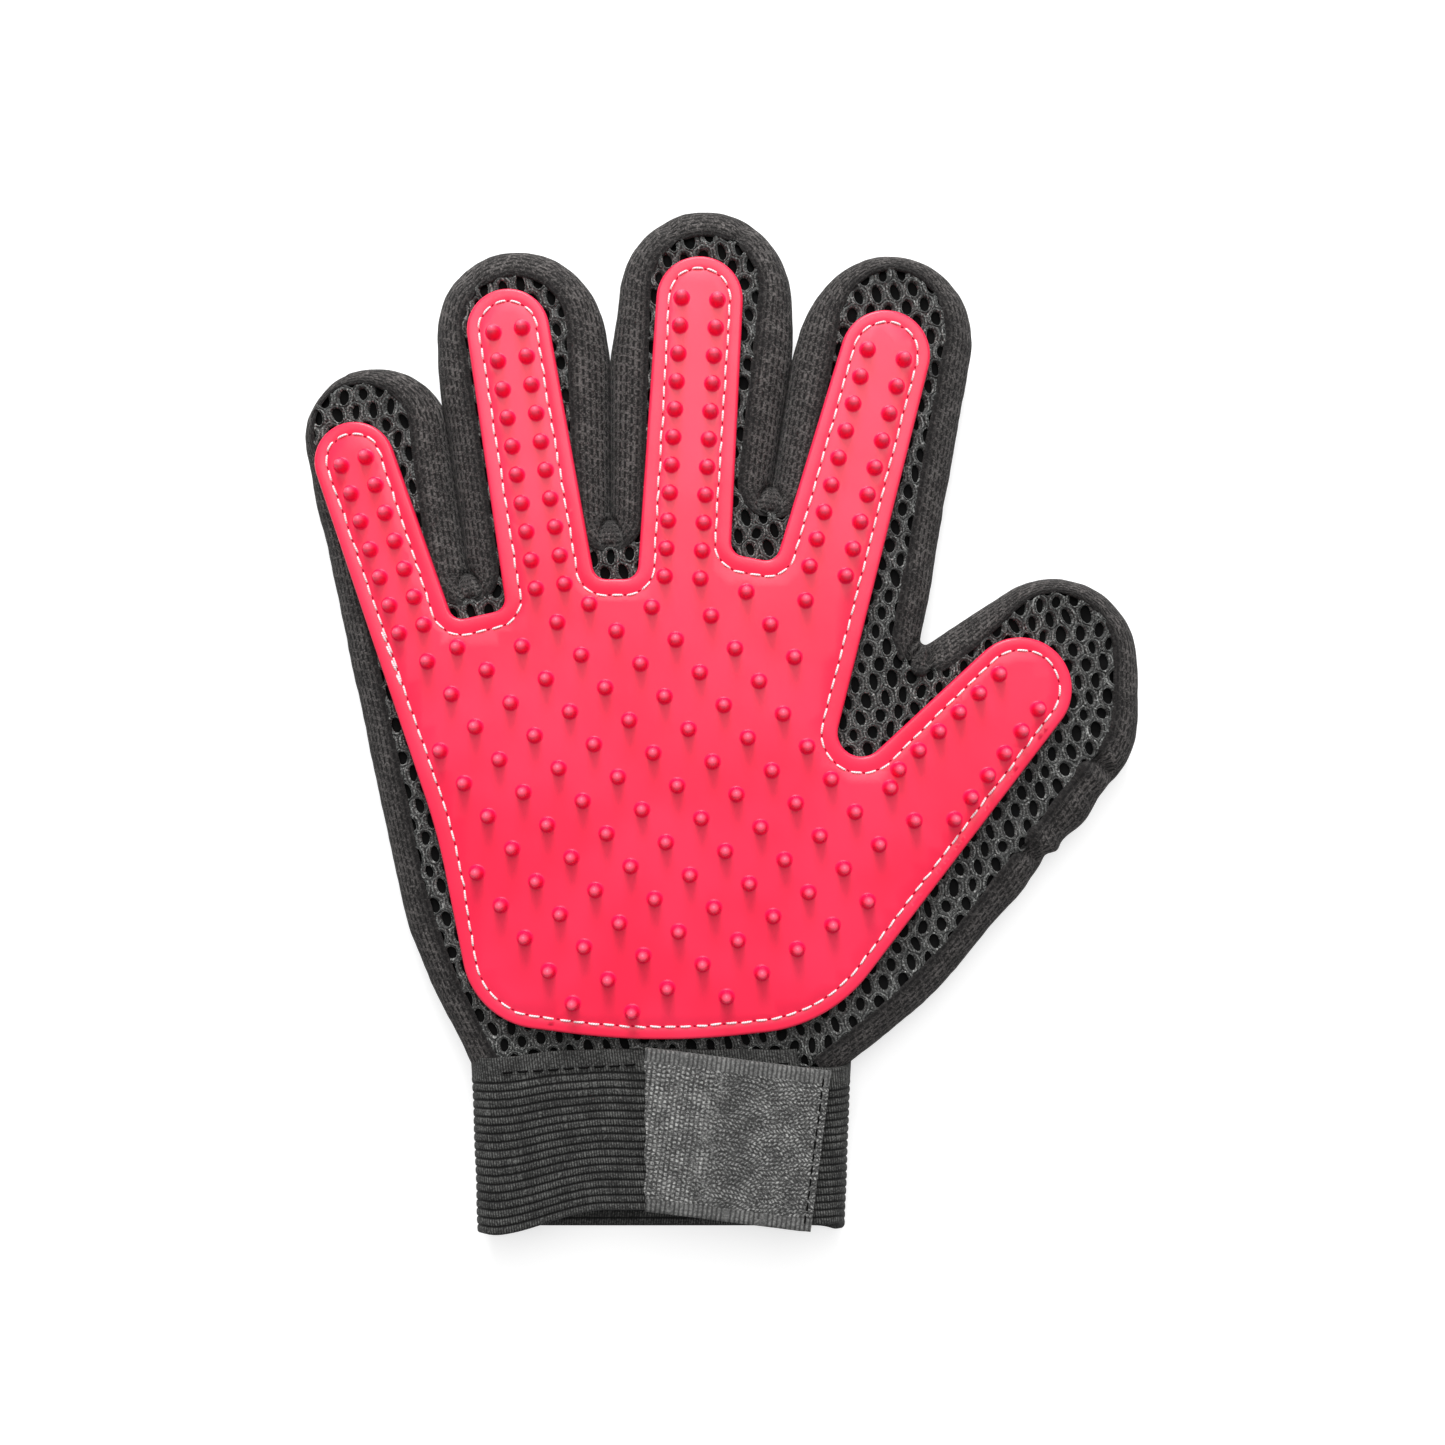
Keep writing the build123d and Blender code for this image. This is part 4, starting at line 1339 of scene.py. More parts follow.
# ---------------------------------------------------------------- the rubber pad
@dataclass(frozen=True)
class Pad:
    """The moulded rubber pad: a plate with a round edge, a sewn seam and rows of nubs."""

    bottom: float = 13.5
    thickness: float = 2.0
    edge: float = 0.7
    seam_inset: float = 2.9
    seam_inset_notch: float = 3.6
    nub_height: float = 3.6
    nub_base: float = 1.45
    foot: float = 1.95
    notches: tuple[tuple[Pulley, ...], ...] = (
        (Pulley(-44.3, 44.0, 3.1, -1), Pulley(-37.6, 45.3, 2.9, -1)),
        (Pulley(-11.95, 52.9, 3.1, -1), Pulley(-7.9, 52.9, 3.1, -1)),
        (Pulley(19.1, 58.0, 3.1, -1), Pulley(23.8, 57.1, 3.1, -1)),
        (Pulley(45.2, 15.4, 5.35, -1),),
        (),
    )
    heel: tuple[Pulley, ...] = (
        Pulley(20.0, -18.1, 33.7, 1), Pulley(0.5, 103.3, 156.5, 1),
        Pulley(-26.1, -32.7, 18.2, 1), Pulley(-175.1, -40.7, 129.5, -1),
    )
    grid_origin: tuple[float, float] = (-56.9, 6.1)
    grid_down: tuple[float, float] = (5.36, -7.30)
    grid_across: tuple[float, float] = (7.88, 5.35)
    nub_rows: tuple[tuple[int, int, int], ...] = (
        (0, 3, 7), (1, 0, 8), (2, -2, 8), (3, -1, 9), (4, -1, 9), (5, -1, 9), (6, 0, 9), (7, 0, 9),
        (8, 1, 8), (9, 1, 3), (9, 7, 8), (10, 2, 2),
    )
    strays: tuple[tuple[float, float], ...] = ((-45.2, 34.5), (-15.7, 44.2))
    nub_sides: int = 16
    face_step: float = 3.4
    groove: tuple[tuple[float, float], ...] = ((-0.55, 0.0), (-0.22, -0.13), (0.22, -0.13), (0.55, 0.0))
    stitch: float = 3.4
    stitch_length: float = 2.85
    thread: float = 0.50
    thread_sink: float = 0.10

    @property
    def top(self) -> float:
        """Height of the pad's face."""
        return self.bottom + self.thickness

    def outline(self, inset: float = 0.0, notch_inset: float | None = None, step: float = 1.0) -> Outline:
        """The pad's outline, moved inwards."""
        circles = []
        for finger, notch in zip(HAND.fingers, self.notches):
            circles += [Pulley(*finger.pad_tip, finger.pad_radius, 1), *notch]
        circles += self.heel
        return belt(circles + circles[:2], inset, notch_inset, step, closed=True)

    def ripple(self, plan: np.ndarray) -> np.ndarray:
        """The slight waves of a soft sheet that is sewn down at its edge."""
        return 0.12 * wobble(plan, 38, 41) + 0.03 * wobble(plan, 11, 43)

    def nub_places(self) -> np.ndarray:
        """Every nub's centre that has room inside the seam."""
        places = [f.nub_places() for f in HAND.fingers]
        for row, first, last in self.nub_rows:
            n = np.arange(first, last + 1)[:, None]
            across = row * np.array(self.grid_across)
            places.append(np.array(self.grid_origin) + n * self.grid_down + across)
        places = np.concatenate([*places, np.array(self.strays)])
        margin = self.thread / 2 + 0.2 + self.nub_base
        room = Fence(self.outline(self.seam_inset + margin, self.seam_inset_notch + margin, 0.5))
        return places[room.depth(places) > 0]

    def nub(self) -> Soup:
        """One nub: a soft foot, a tapered peg and a round tip that closes at its pole."""
        h, r, columns = self.nub_height, self.nub_base, self.nub_sides
        radii = np.array([self.foot, r + 0.25, r + 0.08, r - 0.02, r - 0.16, r - 0.30, r - 0.46,
                          r - 0.72, r - 1.05])
        heights = np.array([0.0, 0.07, 0.26, 0.75, 0.44 * h, 0.64 * h, 0.80 * h, 0.925 * h, 0.985 * h])
        level = np.broadcast_to(heights[:, None, None], (len(radii), columns, 1))
        points = np.concatenate([radii[:, None, None] * circle(columns)[None], level], 2)
        body = grid_soup(points, ring_columns=True)
        pole = np.concatenate([body.points, [(0, 0, h)]])
        k = np.arange(columns)
        last = (len(radii) - 1) * columns
        tris = np.stack([last + k, last + (k + 1) % columns, np.full(columns, len(pole) - 1)], 1)
        outward = np.concatenate([body.points * (1, 1, 0) + (0, 0, 0.2), [(0, 0, 1)]])
        return Soup.of(pole, body.quads, tris).facing(outward)

    def rim(self) -> tuple[Soup, Outline]:
        """The pad's edge, from its foot over the rounding on to its face, and the loop that it ends on."""
        base = self.outline()
        angle = np.linspace(0, math.pi / 2, 7)
        insets = np.concatenate([[0.35, 0.05, 0.0], self.edge * (1 - np.cos(angle)), [self.edge + 0.6]])
        heights = np.concatenate([[0.0, 0.06, 0.5], self.thickness - self.edge * (1 - np.sin(angle)),
                                  [self.thickness]])
        plan = base.points[:, None] - insets[None, :, None] * base.out[:, None]
        z = self.bottom + np.broadcast_to(heights[None, :, None], (*plan.shape[:2], 1))
        points = np.concatenate([plan, z], 2)
        soup = grid_soup(points, ring_rows=True)
        lift = self.ripple(soup.points[:, :2]) * np.tile(np.clip(heights / self.thickness, 0, 1), len(plan))
        soup.points[:, 2] += lift
        outward = np.repeat(np.column_stack([base.out, np.full(len(base.out), 0.3)]), len(insets), 0)
        inner = base.moved(self.edge + 0.6)
        return soup.facing(outward), Outline(inner, base.out, base.run)

    @staticmethod
    def to_nub(places: np.ndarray, nubs: np.ndarray) -> np.ndarray:
        """How far each place lies from the middle of the nearest nub."""
        return np.hypot(places[:, None, 0] - nubs[None, :, 0], places[:, None, 1] - nubs[None, :, 1]).min(1)

    def face(self, border: Outline, nubs: np.ndarray) -> Soup:
        """The pad's face inside the border, with a shallow groove under the seam.

        Args:
            border: the loop that the face is joined to.
            nubs: the nubs' centres; the face is left open under each.

        Returns:
            The face as triangles.
        """
        loops = [(border.points, 0.0)]
        for aside, drop in self.groove:
            seam = self.outline(self.seam_inset + aside, self.seam_inset_notch + aside, 1.3)
            loops.append((seam.points, drop))
        loops += [(place + self.foot * circle(self.nub_sides), 0.0) for place in nubs]
        columns, rows = np.arange(-80, 112, self.face_step), np.arange(-54, 132, self.face_step)
        grid = np.stack(np.meshgrid(columns, rows), -1).reshape(-1, 2)
        seam_fence = Fence(self.outline(self.seam_inset, self.seam_inset_notch))
        grid = grid[seam_fence.depth(grid) > 1.1]
        grid = grid[self.to_nub(grid, nubs) > self.foot + 0.7]
        coords, edges, drops = [], [], []
        for loop, drop in loops:
            start = sum(len(c) for c in coords)
            k = np.arange(len(loop))
            edges += np.stack([start + k, start + (k + 1) % len(loop)], 1).tolist()
            coords.append(loop)
            drops.append(np.full(len(loop), drop))
        coords.append(grid)
        drops.append(np.zeros(len(grid)))
        coords, drops = np.concatenate(coords), np.concatenate(drops)
        found = delaunay_2d_cdt([Vector(p) for p in coords], edges, [], 1, 1e-5, True)
        plan = np.array([tuple(v) for v in found[0]])
        drop = np.array([drops[ids[0]] if ids else 0.0 for ids in found[3]])
        tris = np.array([f for f in found[2] if len(f) == 3], int)
        middle = plan[tris].mean(1)
        outside_nubs = self.to_nub(middle, nubs) > self.foot * 0.95
        tris = tris[outside_nubs & (Fence(border).depth(middle) > 0)]
        points = np.column_stack([plan, self.top + drop + self.ripple(plan)])
        return Soup.of(points, tris=tris).facing(UP)

    def build(self, finishes: Finishes) -> None:
        """Make the pad's pieces and their stitching."""
        nubs = self.nub_places()
        LOG.info("nubs: %d", len(nubs))
        rim, border = self.rim()
        pegs = repeated(self.nub(), np.column_stack([nubs, self.top + self.ripple(nubs)]))
        pegs.measure = np.stack([pegs.points[:, 0], pegs.points[:, 2] - self.top], 1)
        plate = Soup.joined([rim, self.face(border, nubs)])
        layer = GloveLayer("rubber", "pad_rubber", "pad", ("palm_pad",))
        layer.place((plate, finishes.rubber), (pegs, finishes.nub))
        seam = self.outline(self.seam_inset, self.seam_inset_notch, 0.5)
        sewing = Sewing(self.stitch, self.stitch_length, self.thread / 2)
        level = self.top - self.thread_sink
        threads, holes = sewing.along(seam, lambda plan: level + self.ripple(plan), 51)
        extra = sewing.between(seam, (-62.0, 38.5), (-58.3, 25.5), 0.42,
                               lambda plan: level + 0.12 + self.ripple(plan))
        layer = GloveLayer("seam", "pale_thread", "pad_stitching", ("palm_pad_stitching",))
        layer.place((Soup.joined([threads, extra]), finishes.pale), (holes, finishes.hole))


# ---------------------------------------------------------------- stitches
@dataclass(frozen=True)
class Sewing:
    """A row of lockstitches: each thread dives into its needle holes and bows up between them."""

    pitch: float
    length: float
    radius: float
    sides: int = 6
    stations: int = 7
    reach: float = 0.45

    def dashes(self, centre: np.ndarray, heading: np.ndarray, left: np.ndarray, base: np.ndarray,
               bend: np.ndarray | float = 0.0) -> Soup:
        """Thread dashes on a level surface.

        Args:
            centre: each dash's middle, in plan.
            heading: each dash's direction.
            left: the direction at right angles to it.
            base: the surface's height under each dash.
            bend: how far each dash's middle stands to the left of its ends.

        Returns:
            The dashes as small tubes.
        """
        n, k, m = len(centre), self.stations, self.sides
        t = np.linspace(-1, 1, k)
        plan = centre[:, None] + heading[:, None] * (t * self.length / 2)[None, :, None]
        plan = plan + left[:, None] * (np.reshape(bend, (-1, 1)) * (1 - t ** 2)[None])[..., None]
        rise = self.radius * (0.75 - 2.4 * t ** 6)
        angle = np.arange(m) * TAU / m
        taper = 1 - 0.35 * t ** 4
        aside = self.radius * taper[:, None] * np.cos(angle)[None]
        up = self.radius * 0.9 * taper[:, None] * np.sin(angle)[None] + rise[:, None]
        xy = plan[:, :, None] + left[:, None, None] * aside[None, :, :, None]
        z = np.broadcast_to(up[None], (n, k, m)) + base[:, None, None]
        points = np.concatenate([xy, z[..., None]], 3)
        quads = numbered(grid_quads(k, m, ring_columns=True), n, k * m)
        along = np.broadcast_to((t * self.length / 2)[None, :, None], (n, k, m))
        along = along + np.arange(n)[:, None, None] * 0.7
        around = np.broadcast_to(angle[None, None] / TAU, (n, k, m))
        outward = points - np.concatenate([np.broadcast_to(plan[:, :, None], (n, k, m, 2)),
                                           (z - up[None] + rise[None, :, None])[..., None]], 3)
        soup = Soup.of(points.reshape(-1, 3), quads, measure=np.stack([along, around], -1).reshape(-1, 2),
                       home=np.repeat(centre, k * m, 0))
        return soup.facing(outward.reshape(-1, 3))

    def along(self, line: Outline, height: Callable[[np.ndarray], np.ndarray],
              seed: int) -> tuple[Soup, Soup]:
        """Sew all round a closed line.

        Args:
            line: the seam.
            height: gives the surface's height at plan places.
            seed: for the small wander of the stitches.

        Returns:
            The threads and the needle holes between them.
        """
        random = np.random.default_rng(seed)
        count = round(line.girth / self.pitch)
        run = (np.arange(count) + random.normal(0, 0.035, count)) * line.girth / count
        centre, out = self.on_line(line, run)
        centre = centre + out * random.normal(0, 0.07, count)[:, None]
        slant = random.normal(0, 0.05, count)[:, None]
        ahead, _ = self.on_line(line, run + self.reach * self.pitch)
        behind, _ = self.on_line(line, run - self.reach * self.pitch)
        heading = ahead - behind
        heading /= np.hypot(*heading.T)[:, None]
        left = left_of(heading)
        heading = heading + slant * left
        middle = self.on_line(line, run)[0] - (ahead + behind) / 2
        bend = np.einsum("ij,ij->i", middle, left) * 0.6
        threads = self.dashes(centre, heading, left, height(centre), bend)
        spot, _ = self.on_line(line, run + self.pitch / 2)
        spot = np.column_stack([spot, height(spot) + 0.02])
        return threads, needle_holes(spot, np.arctan2(*heading.T[::-1]))

    def between(self, line: Outline, first: tuple[float, float], last: tuple[float, float], aside: float,
                height: Callable[[np.ndarray], np.ndarray]) -> Soup:
        """A few more stitches beside the seam, where its end was sewn over its start."""
        span = [line.nearest_run(*first), line.nearest_run(*last)]
        run = np.arange(min(span), max(span), self.pitch) + self.pitch * 0.42
        centre, out = self.on_line(line, run)
        heading = np.stack([out[:, 1], -out[:, 0]], 1) + 0.10 * out
        return self.dashes(centre + aside * out, heading, left_of(heading), height(centre))

    @staticmethod
    def on_line(line: Outline, run: np.ndarray) -> tuple[np.ndarray, np.ndarray]:
        """Points and outward directions at distances along a closed line."""
        at = np.append(line.run, line.girth)
        points, outs = np.vstack([line.points, line.points[:1]]), np.vstack([line.out, line.out[:1]])
        where = np.mod(run, line.girth)
        place = np.stack([np.interp(where, at, points[:, k]) for k in (0, 1)], 1)
        out = np.stack([np.interp(where, at, outs[:, k]) for k in (0, 1)], 1)
        return place, out / np.hypot(*out.T)[:, None]

    def row(self, start: tuple[float, float], end: tuple[float, float], height: float, seed: int) -> Soup:
        """Sew a straight row."""
        random = np.random.default_rng(seed)
        first, last = np.array(start), np.array(end)
        heading = (last - first) / np.hypot(*(last - first))
        left = left_of(heading)
        count = max(1, int(np.hypot(*(last - first)) / self.pitch))
        share = (np.arange(count)[:, None] + 0.5) / count
        centre = first + (last - first) * share + left * random.normal(0, 0.06, count)[:, None]
        heading, left = np.tile(heading, (count, 1)), np.tile(left, (count, 1))
        return self.dashes(centre, heading, left, np.full(count, height))


def needle_holes(places: np.ndarray, turns: np.ndarray) -> Soup:
    """Small dark oval hollows where a seam's needle went in, one at each place, turned along it."""
    sides, half_length, half_width, depth = 8, 0.40, 0.20, 0.03
    rim = np.column_stack([circle(sides) * (half_length, half_width), np.zeros(sides)])
    k = np.arange(sides)
    tris = np.stack([k, (k + 1) % sides, np.full(sides, sides)], 1)
    return repeated(Soup.of(np.vstack([rim, [(0, 0, -depth)]]), tris=tris).facing(UP), places, turns)


# ---------------------------------------------------------------- the cuff and its strap
@dataclass(frozen=True)
class Cuff:
    """The elastic strip, wound once round the wrist, with its two ends in front."""

    half_width: float = 43.5
    height: float = 13.5
    top: float = -60.0
    length: float = 40.0
    elastic: float = 1.6
    front_end: float = 30.8
    stub_end: float = 31.8
    ribs: int = 21
    rib_depth: float = 0.34
    samples: int = 6
    step: float = 1.2
    turn_points: int = 22
    stub_points: int = 6
    inner_rows: int = 22
    plain: float = 3.9
    taper: float = 0.035

    def path(self) -> tuple[np.ndarray, np.ndarray, np.ndarray]:
        """The strip's line round the wrist, seen along it.

        Returns:
            The outer face's points as (x, z), its outward directions, and the distance along.
        """
        r, straight = self.height / 2, self.half_width - self.height / 2
        front = np.linspace(self.front_end, -straight, round((self.front_end + straight) / self.step))[:-1]
        back = np.linspace(-straight, straight, round(2 * straight / self.step))[:-1]
        stub = np.linspace(straight, self.stub_end, self.stub_points)
        turn = np.linspace(math.pi / 2, 3 * math.pi / 2, self.turn_points)[:-1]
        right = np.linspace(-math.pi / 2, math.pi / 2, self.turn_points)[:-1]
        x = np.concatenate([front, -straight + r * np.cos(turn), back, straight + r * np.cos(right), stub])
        z = np.concatenate([np.full(len(front), 2 * r), r + r * np.sin(turn), np.zeros(len(back)),
                            r + r * np.sin(right), np.full(len(stub), 2 * r)])
        out_x = np.concatenate([front * 0, np.cos(turn), back * 0, np.cos(right), stub * 0])
        out_z = np.concatenate([front * 0 + 1, np.sin(turn), back * 0 - 1, np.sin(right), stub * 0 + 1])
        points = np.stack([x, z], 1)
        return points, np.stack([out_x, out_z], 1), travelled(points)

    def edges(self, points: np.ndarray) -> tuple[np.ndarray, np.ndarray]:
        """The strip's upper and lower edge: straight behind, drawn up in a wave in front."""
        x, z = points.T
        raised = ramp(z, 4.0, self.height - 0.5) * (x < self.front_end + 0.5)
        tail = ramp(z, 2.0, self.height) * (x > self.front_end + 0.5)
        high = self.top + raised * (1.9 + 2.2 * ramp(x, -44, -15)) + 0.12 * np.sin(x / 2.3)
        low = self.top - self.length + 0.4 + raised * (1.9 + 5.8 * ramp(x, -40, -12)) + tail * 4.4
        return high, low

    def soup(self) -> Soup:
        """The strip: ribbed outside, smooth inside, its edges and ends closed."""
        points, out, run = self.path()
        high, low = self.edges(points)
        count = self.ribs * self.samples + 1
        share = np.linspace(0, 1, count)
        phase = np.mod(share * self.ribs, 1.0)
        rib = np.sqrt(np.clip(1 - (2 * phase - 1) ** 2, 0, 1)) * self.rib_depth
        rib = np.where(share * self.length < self.plain, self.rib_depth * 0.8, rib)
        outer_off = rib - self.rib_depth + 0.04
        front = ramp(points[:, 1], 8.0, self.height) * 0.30
        shares = np.concatenate([share, np.linspace(1, 0, self.inner_rows)])
        offs = np.concatenate([outer_off, np.full(self.inner_rows, -self.elastic + 0.1)])
        offs[count], offs[-1] = offs[count] + 0.25, offs[-1] + 0.25
        n, m = len(points), len(shares)
        y = high[:, None] + (low - high)[:, None] * shares[None]
        grid = np.stack(np.broadcast_arrays(points[:, None, 0], y), -1)
        wave = wobble(grid.reshape(-1, 2), 16, 61).reshape(n, m) * 0.10
        off = offs[None] + front[:, None] + wave * (points[:, 1:] > 6)
        xyz = np.stack([points[:, None, 0] + out[:, None, 0] * off, y,
                        points[:, None, 1] + out[:, None, 1] * off], -1)
        xyz[..., 0] *= 1 - self.taper * np.clip((self.top - xyz[..., 1]) / self.length, 0, 1)
        xyz[..., 2] = np.maximum(xyz[..., 2], 0.0)
        measure = np.stack(np.broadcast_arrays(run[:, None], shares[None] * self.length), -1)
        soup = grid_soup(xyz, measure, ring_columns=True)
        normal = np.stack([out[:, 0], out[:, 0] * 0, out[:, 1]], -1)[:, None]
        normal = np.broadcast_to(normal, xyz.shape).copy()
        normal[:, count:] *= -1
        soup = soup.facing(normal.reshape(-1, 3))
        tris = self.end_faces(count, m)
        ends = [Soup.of(xyz[column], tris=tris, measure=measure[column]).facing(away)
                for column, away in ((0, (1.0, 0.0, 0.0)), (n - 1, (-1.0, 0.0, 0.0)))]
        return Soup.joined([soup, *ends])

    def end_faces(self, outer: int, total: int) -> np.ndarray:
        """Triangles between the outer and the inner side of one of the strip's cut ends.

        Args:
            outer: how many of the end's points lie on its outer side; they come first.
            total: how many points it has. The inner side runs back the other way.

        Returns:
            The triangles.
        """
        inner, last = self.inner_rows - 1, outer - 1
        tris = [(a, a + 1, total - 1 - round(a * inner / last)) for a in range(last)]
        tris += [(total - 1 - b, total - 2 - b, min(last, round((b + 0.5) * last / inner)))
                 for b in range(inner)]
        return np.array(tris)

    def build(self, finishes: Finishes) -> None:
        """Make the cuff and the row of stitches that joins it to the glove."""
        palm_piece("cuff_webbing", self.soup(), finishes.elastic, "cuff_elastic")
        sewing = Sewing(3.3, 2.5, 0.25)
        row = sewing.row((-36.0, -61.0), (-5.0, -59.0), self.height + 0.50, 71)
        more = sewing.row((-3.0, -58.9), (29.5, -58.9), self.height + 0.50, 72)
        palm_piece("cuff_seam", Soup.joined([row, more]), finishes.dark, "cuff_stitching")


class TapePart(Enum):
    """The two parts of the hook tape, on either side of the line that it folds on."""

    FLAP = "flap"
    TAIL = "tail"


@dataclass(frozen=True)
class HookTape:
    """The grey tape: sewn down at one end, and pressed on to the loop patch with its hooked face."""

    hinge: tuple[float, float] = (33.0, -77.9)
    tilt: float = 7.3
    half_width: float = 18.15
    length: float = 36.5
    tail: float = 3.1
    slant: float = 4.7
    bottom: float = 14.3
    thickness: float = 1.4
    loop_centre: tuple[float, float] = (15.0, -76.5)
    loop_size: tuple[float, float] = (28.0, 25.0)
    loop_bottom: float = 13.5
    loop_thickness: float = 0.55
    hook_pitch: float = 1.9
    edge_bar: float = 2.9
    bend_run: float = 7.0

    def on_tape(self, points: np.ndarray) -> np.ndarray:
        """Put points drawn on the tape, its free end towards -X from its fold line, in their place."""
        plan = turned(points, -math.radians(self.tilt)) + self.hinge
        return np.concatenate([plan, points[..., 2:]], -1)

    def body(self, part: TapePart) -> Soup:
        """The tape's slab on one side of the fold line, with woven relief and soft edges."""
        across = np.linspace(-self.half_width, self.half_width, 74)
        steps = 72 if part is TapePart.FLAP else 9
        share = np.linspace(0, 1, steps)
        far = -self.length - self.slant / 2 * across / self.half_width
        fray = 0.12 * wobble(across[:, None], 1.6, 81) + 0.2 * wobble(across[:, None], 7.0, 82)
        if part is TapePart.FLAP:
            along = share[None] * (far + fray)[:, None]
        else:
            along = np.repeat(share[None] * self.tail, len(across), 0)
        v = np.repeat(across[:, None], steps, 1)
        edge = np.abs(v) > self.half_width - self.edge_bar
        weave = np.where(edge, 0.02 * np.sin(TAU * along / 1.05), 0.0)
        wave = wobble(np.stack([along.ravel(), v.ravel()], 1), 18, 83).reshape(v.shape)
        bow = 0.18 * ramp(-along, 24, 38) + 0.10 * wave
        settle = 0.0 if part is TapePart.FLAP else -0.35 * ramp(along, 0.5, 2.5)
        centre = self.bottom + self.thickness / 2 + bow * ramp(-along, 0, 6) + settle
        half = self.thickness / 2 - 0.05
        soft = np.clip((self.half_width - np.abs(v)) / 0.5, 0, 1)
        half = half * (0.55 + 0.45 * np.sqrt(1 - (1 - soft) ** 2))
        top = np.stack([along, v, centre + half + weave], -1)
        below = np.stack([along, v, centre - half], -1)
        uv = np.stack([along, v], -1)
        soups = [grid_soup(self.on_tape(top), uv).facing(UP), grid_soup(self.on_tape(below), uv).facing(-UP)]
        rims = ((0, slice(None), (0, -1.0)), (-1, slice(None), (0, 1.0)), (slice(None), -1, None))
        for row, column, away in rims:
            band = np.stack([top[row, column], below[row, column]])
            measure = np.stack([uv[row, column], uv[row, column] + 0.6])
            side = away or ((-1.0, 0) if part is TapePart.FLAP else (1.0, 0))
            soups.append(grid_soup(self.on_tape(band), measure).facing((*side, 0.0)))
        return Soup.joined(soups)

    def hooks(self) -> Soup:
        """The hooks under the flap: short bent stalks in staggered rows."""
        x = np.arange(-self.length + 4, -3, self.hook_pitch)
        y = np.arange(-self.half_width + 2.8, self.half_width - 2.7, self.hook_pitch)
        grid = np.stack(np.meshgrid(x, y), -1)
        grid[1::2, :, 0] += self.hook_pitch / 2
        level = np.full(grid[..., 0].size, self.bottom + 0.1)
        places = self.on_tape(np.column_stack([grid.reshape(-1, 2), level]))
        t, sides, radius = np.linspace(0, 1, 6), 4, 0.11
        aside, down = 0.28 * (1 - np.cos(t * math.pi * 0.9)), -0.55 * np.sin(t * math.pi * 0.62)
        bend = np.stack([aside, t * 0, down], 1)
        ring = np.column_stack([radius * circle(sides), np.zeros(sides)])
        stalk = grid_soup(bend[:, None] + ring[None], ring_columns=True)
        outward = stalk.points - np.repeat(bend, sides, 0)
        turns = np.random.default_rng(91).choice([0.0, math.pi], len(places)) + math.pi / 2
        return repeated(stalk.facing(outward), places, turns)

    def loop_patch(self) -> Soup:
        """The loop patch: a low slab with brushed pile and soft edges."""
        (cx, cy), (length, width) = self.loop_centre, self.loop_size
        columns, rows = 90, 80
        u, v = np.linspace(-1, 1, columns), np.linspace(-1, 1, rows)
        x, y = np.meshgrid(cx + u * length / 2, cy + v * width / 2)
        plan = np.stack([x.ravel(), y.ravel()], 1)
        pile = 0.07 * wobble(plan, 0.9, 95) + 0.06 * wobble(plan, 0.6, 96)
        edge = np.minimum(1, np.minimum.reduce([(1 - np.abs(u))[None] * length / 2 + v[:, None] * 0,
                                                (1 - np.abs(v))[:, None] * width / 2 + u[None] * 0]) / 0.5)
        edge = edge.ravel()
        rounding = (self.loop_thickness - 0.1) * np.sqrt(1 - (1 - edge) ** 2)
        z = self.loop_bottom + 0.1 + rounding + pile * edge
        return grid_soup(np.column_stack([plan, z]).reshape(rows, columns, 3)).facing(UP)

    def build(self, finishes: Finishes) -> None:
        """Make the flap, its sewn tail, the loop patch and their stitches."""
        coats = [(self.body(TapePart.FLAP), finishes.tape), (self.hooks(), finishes.tape)]
        flap = make_piece("tape_flap", coats)
        c, s = math.cos(math.radians(self.tilt)), math.sin(math.radians(self.tilt))
        height = HINGES["strap"].height
        points = [((self.hinge[0] - along * c) * MM, (self.hinge[1] + along * s) * MM, height * MM)
                  for along in (0.0, self.bend_run)]
        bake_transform(flap)
        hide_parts("hook_tape")
        palm_piece("tape_tail", self.body(TapePart.TAIL), finishes.tape, "hook_tape_tail")
        sewing = Sewing(2.6, 2.1, 0.2)
        ends = self.on_tape(np.array([(self.tail / 2, -16.8, 0.0), (self.tail / 2, 16.8, 0.0)]))
        row = sewing.row(tuple(ends[0, :2]), tuple(ends[1, :2]), self.bottom + self.thickness - 0.22, 85)
        palm_piece("tail_seam", row, finishes.dark, "tail_stitching")
        palm_piece("loop_pile", self.loop_patch(), finishes.pile, "loop_patch")
        (cx, cy), (length, width) = self.loop_centre, self.loop_size
        x, y = length / 2 - 1.1, width / 2 - 1.1
        corners = [(cx - x, cy - y), (cx + x, cy - y), (cx + x, cy + y), (cx - x, cy + y)]
        rows = [sewing.row(a, b, self.loop_bottom + self.loop_thickness, 86 + i)
                for i, (a, b) in enumerate(zip(corners, corners[1:] + corners[:1]))]
        palm_piece("loop_seam", Soup.joined(rows), finishes.dark, "loop_patch_stitching")


# ---------------------------------------------------------------- the studio
@dataclass(frozen=True)
class Lamp:
    """A square soft lamp that looks at the glove."""

    name: str
    place: tuple[float, float, float]
    size: float
    power: float
    aim: tuple[float, float, float] = (0.014, 0.018, 0.0)

    def build(self) -> None:
        """Hang the lamp, unseen by the camera."""
        data = bpy.data.lights.new(self.name, "AREA")
        data.shape, data.size, data.energy = "SQUARE", self.size, self.power
        lamp = bpy.data.objects.new(self.name, data)
        bpy.context.scene.collection.objects.link(lamp)
        lamp.location = self.place
        towards = Vector(self.aim) - Vector(self.place)
        lamp.rotation_euler = towards.to_track_quat("-Z", "Y").to_euler()
        lamp.visible_camera = False


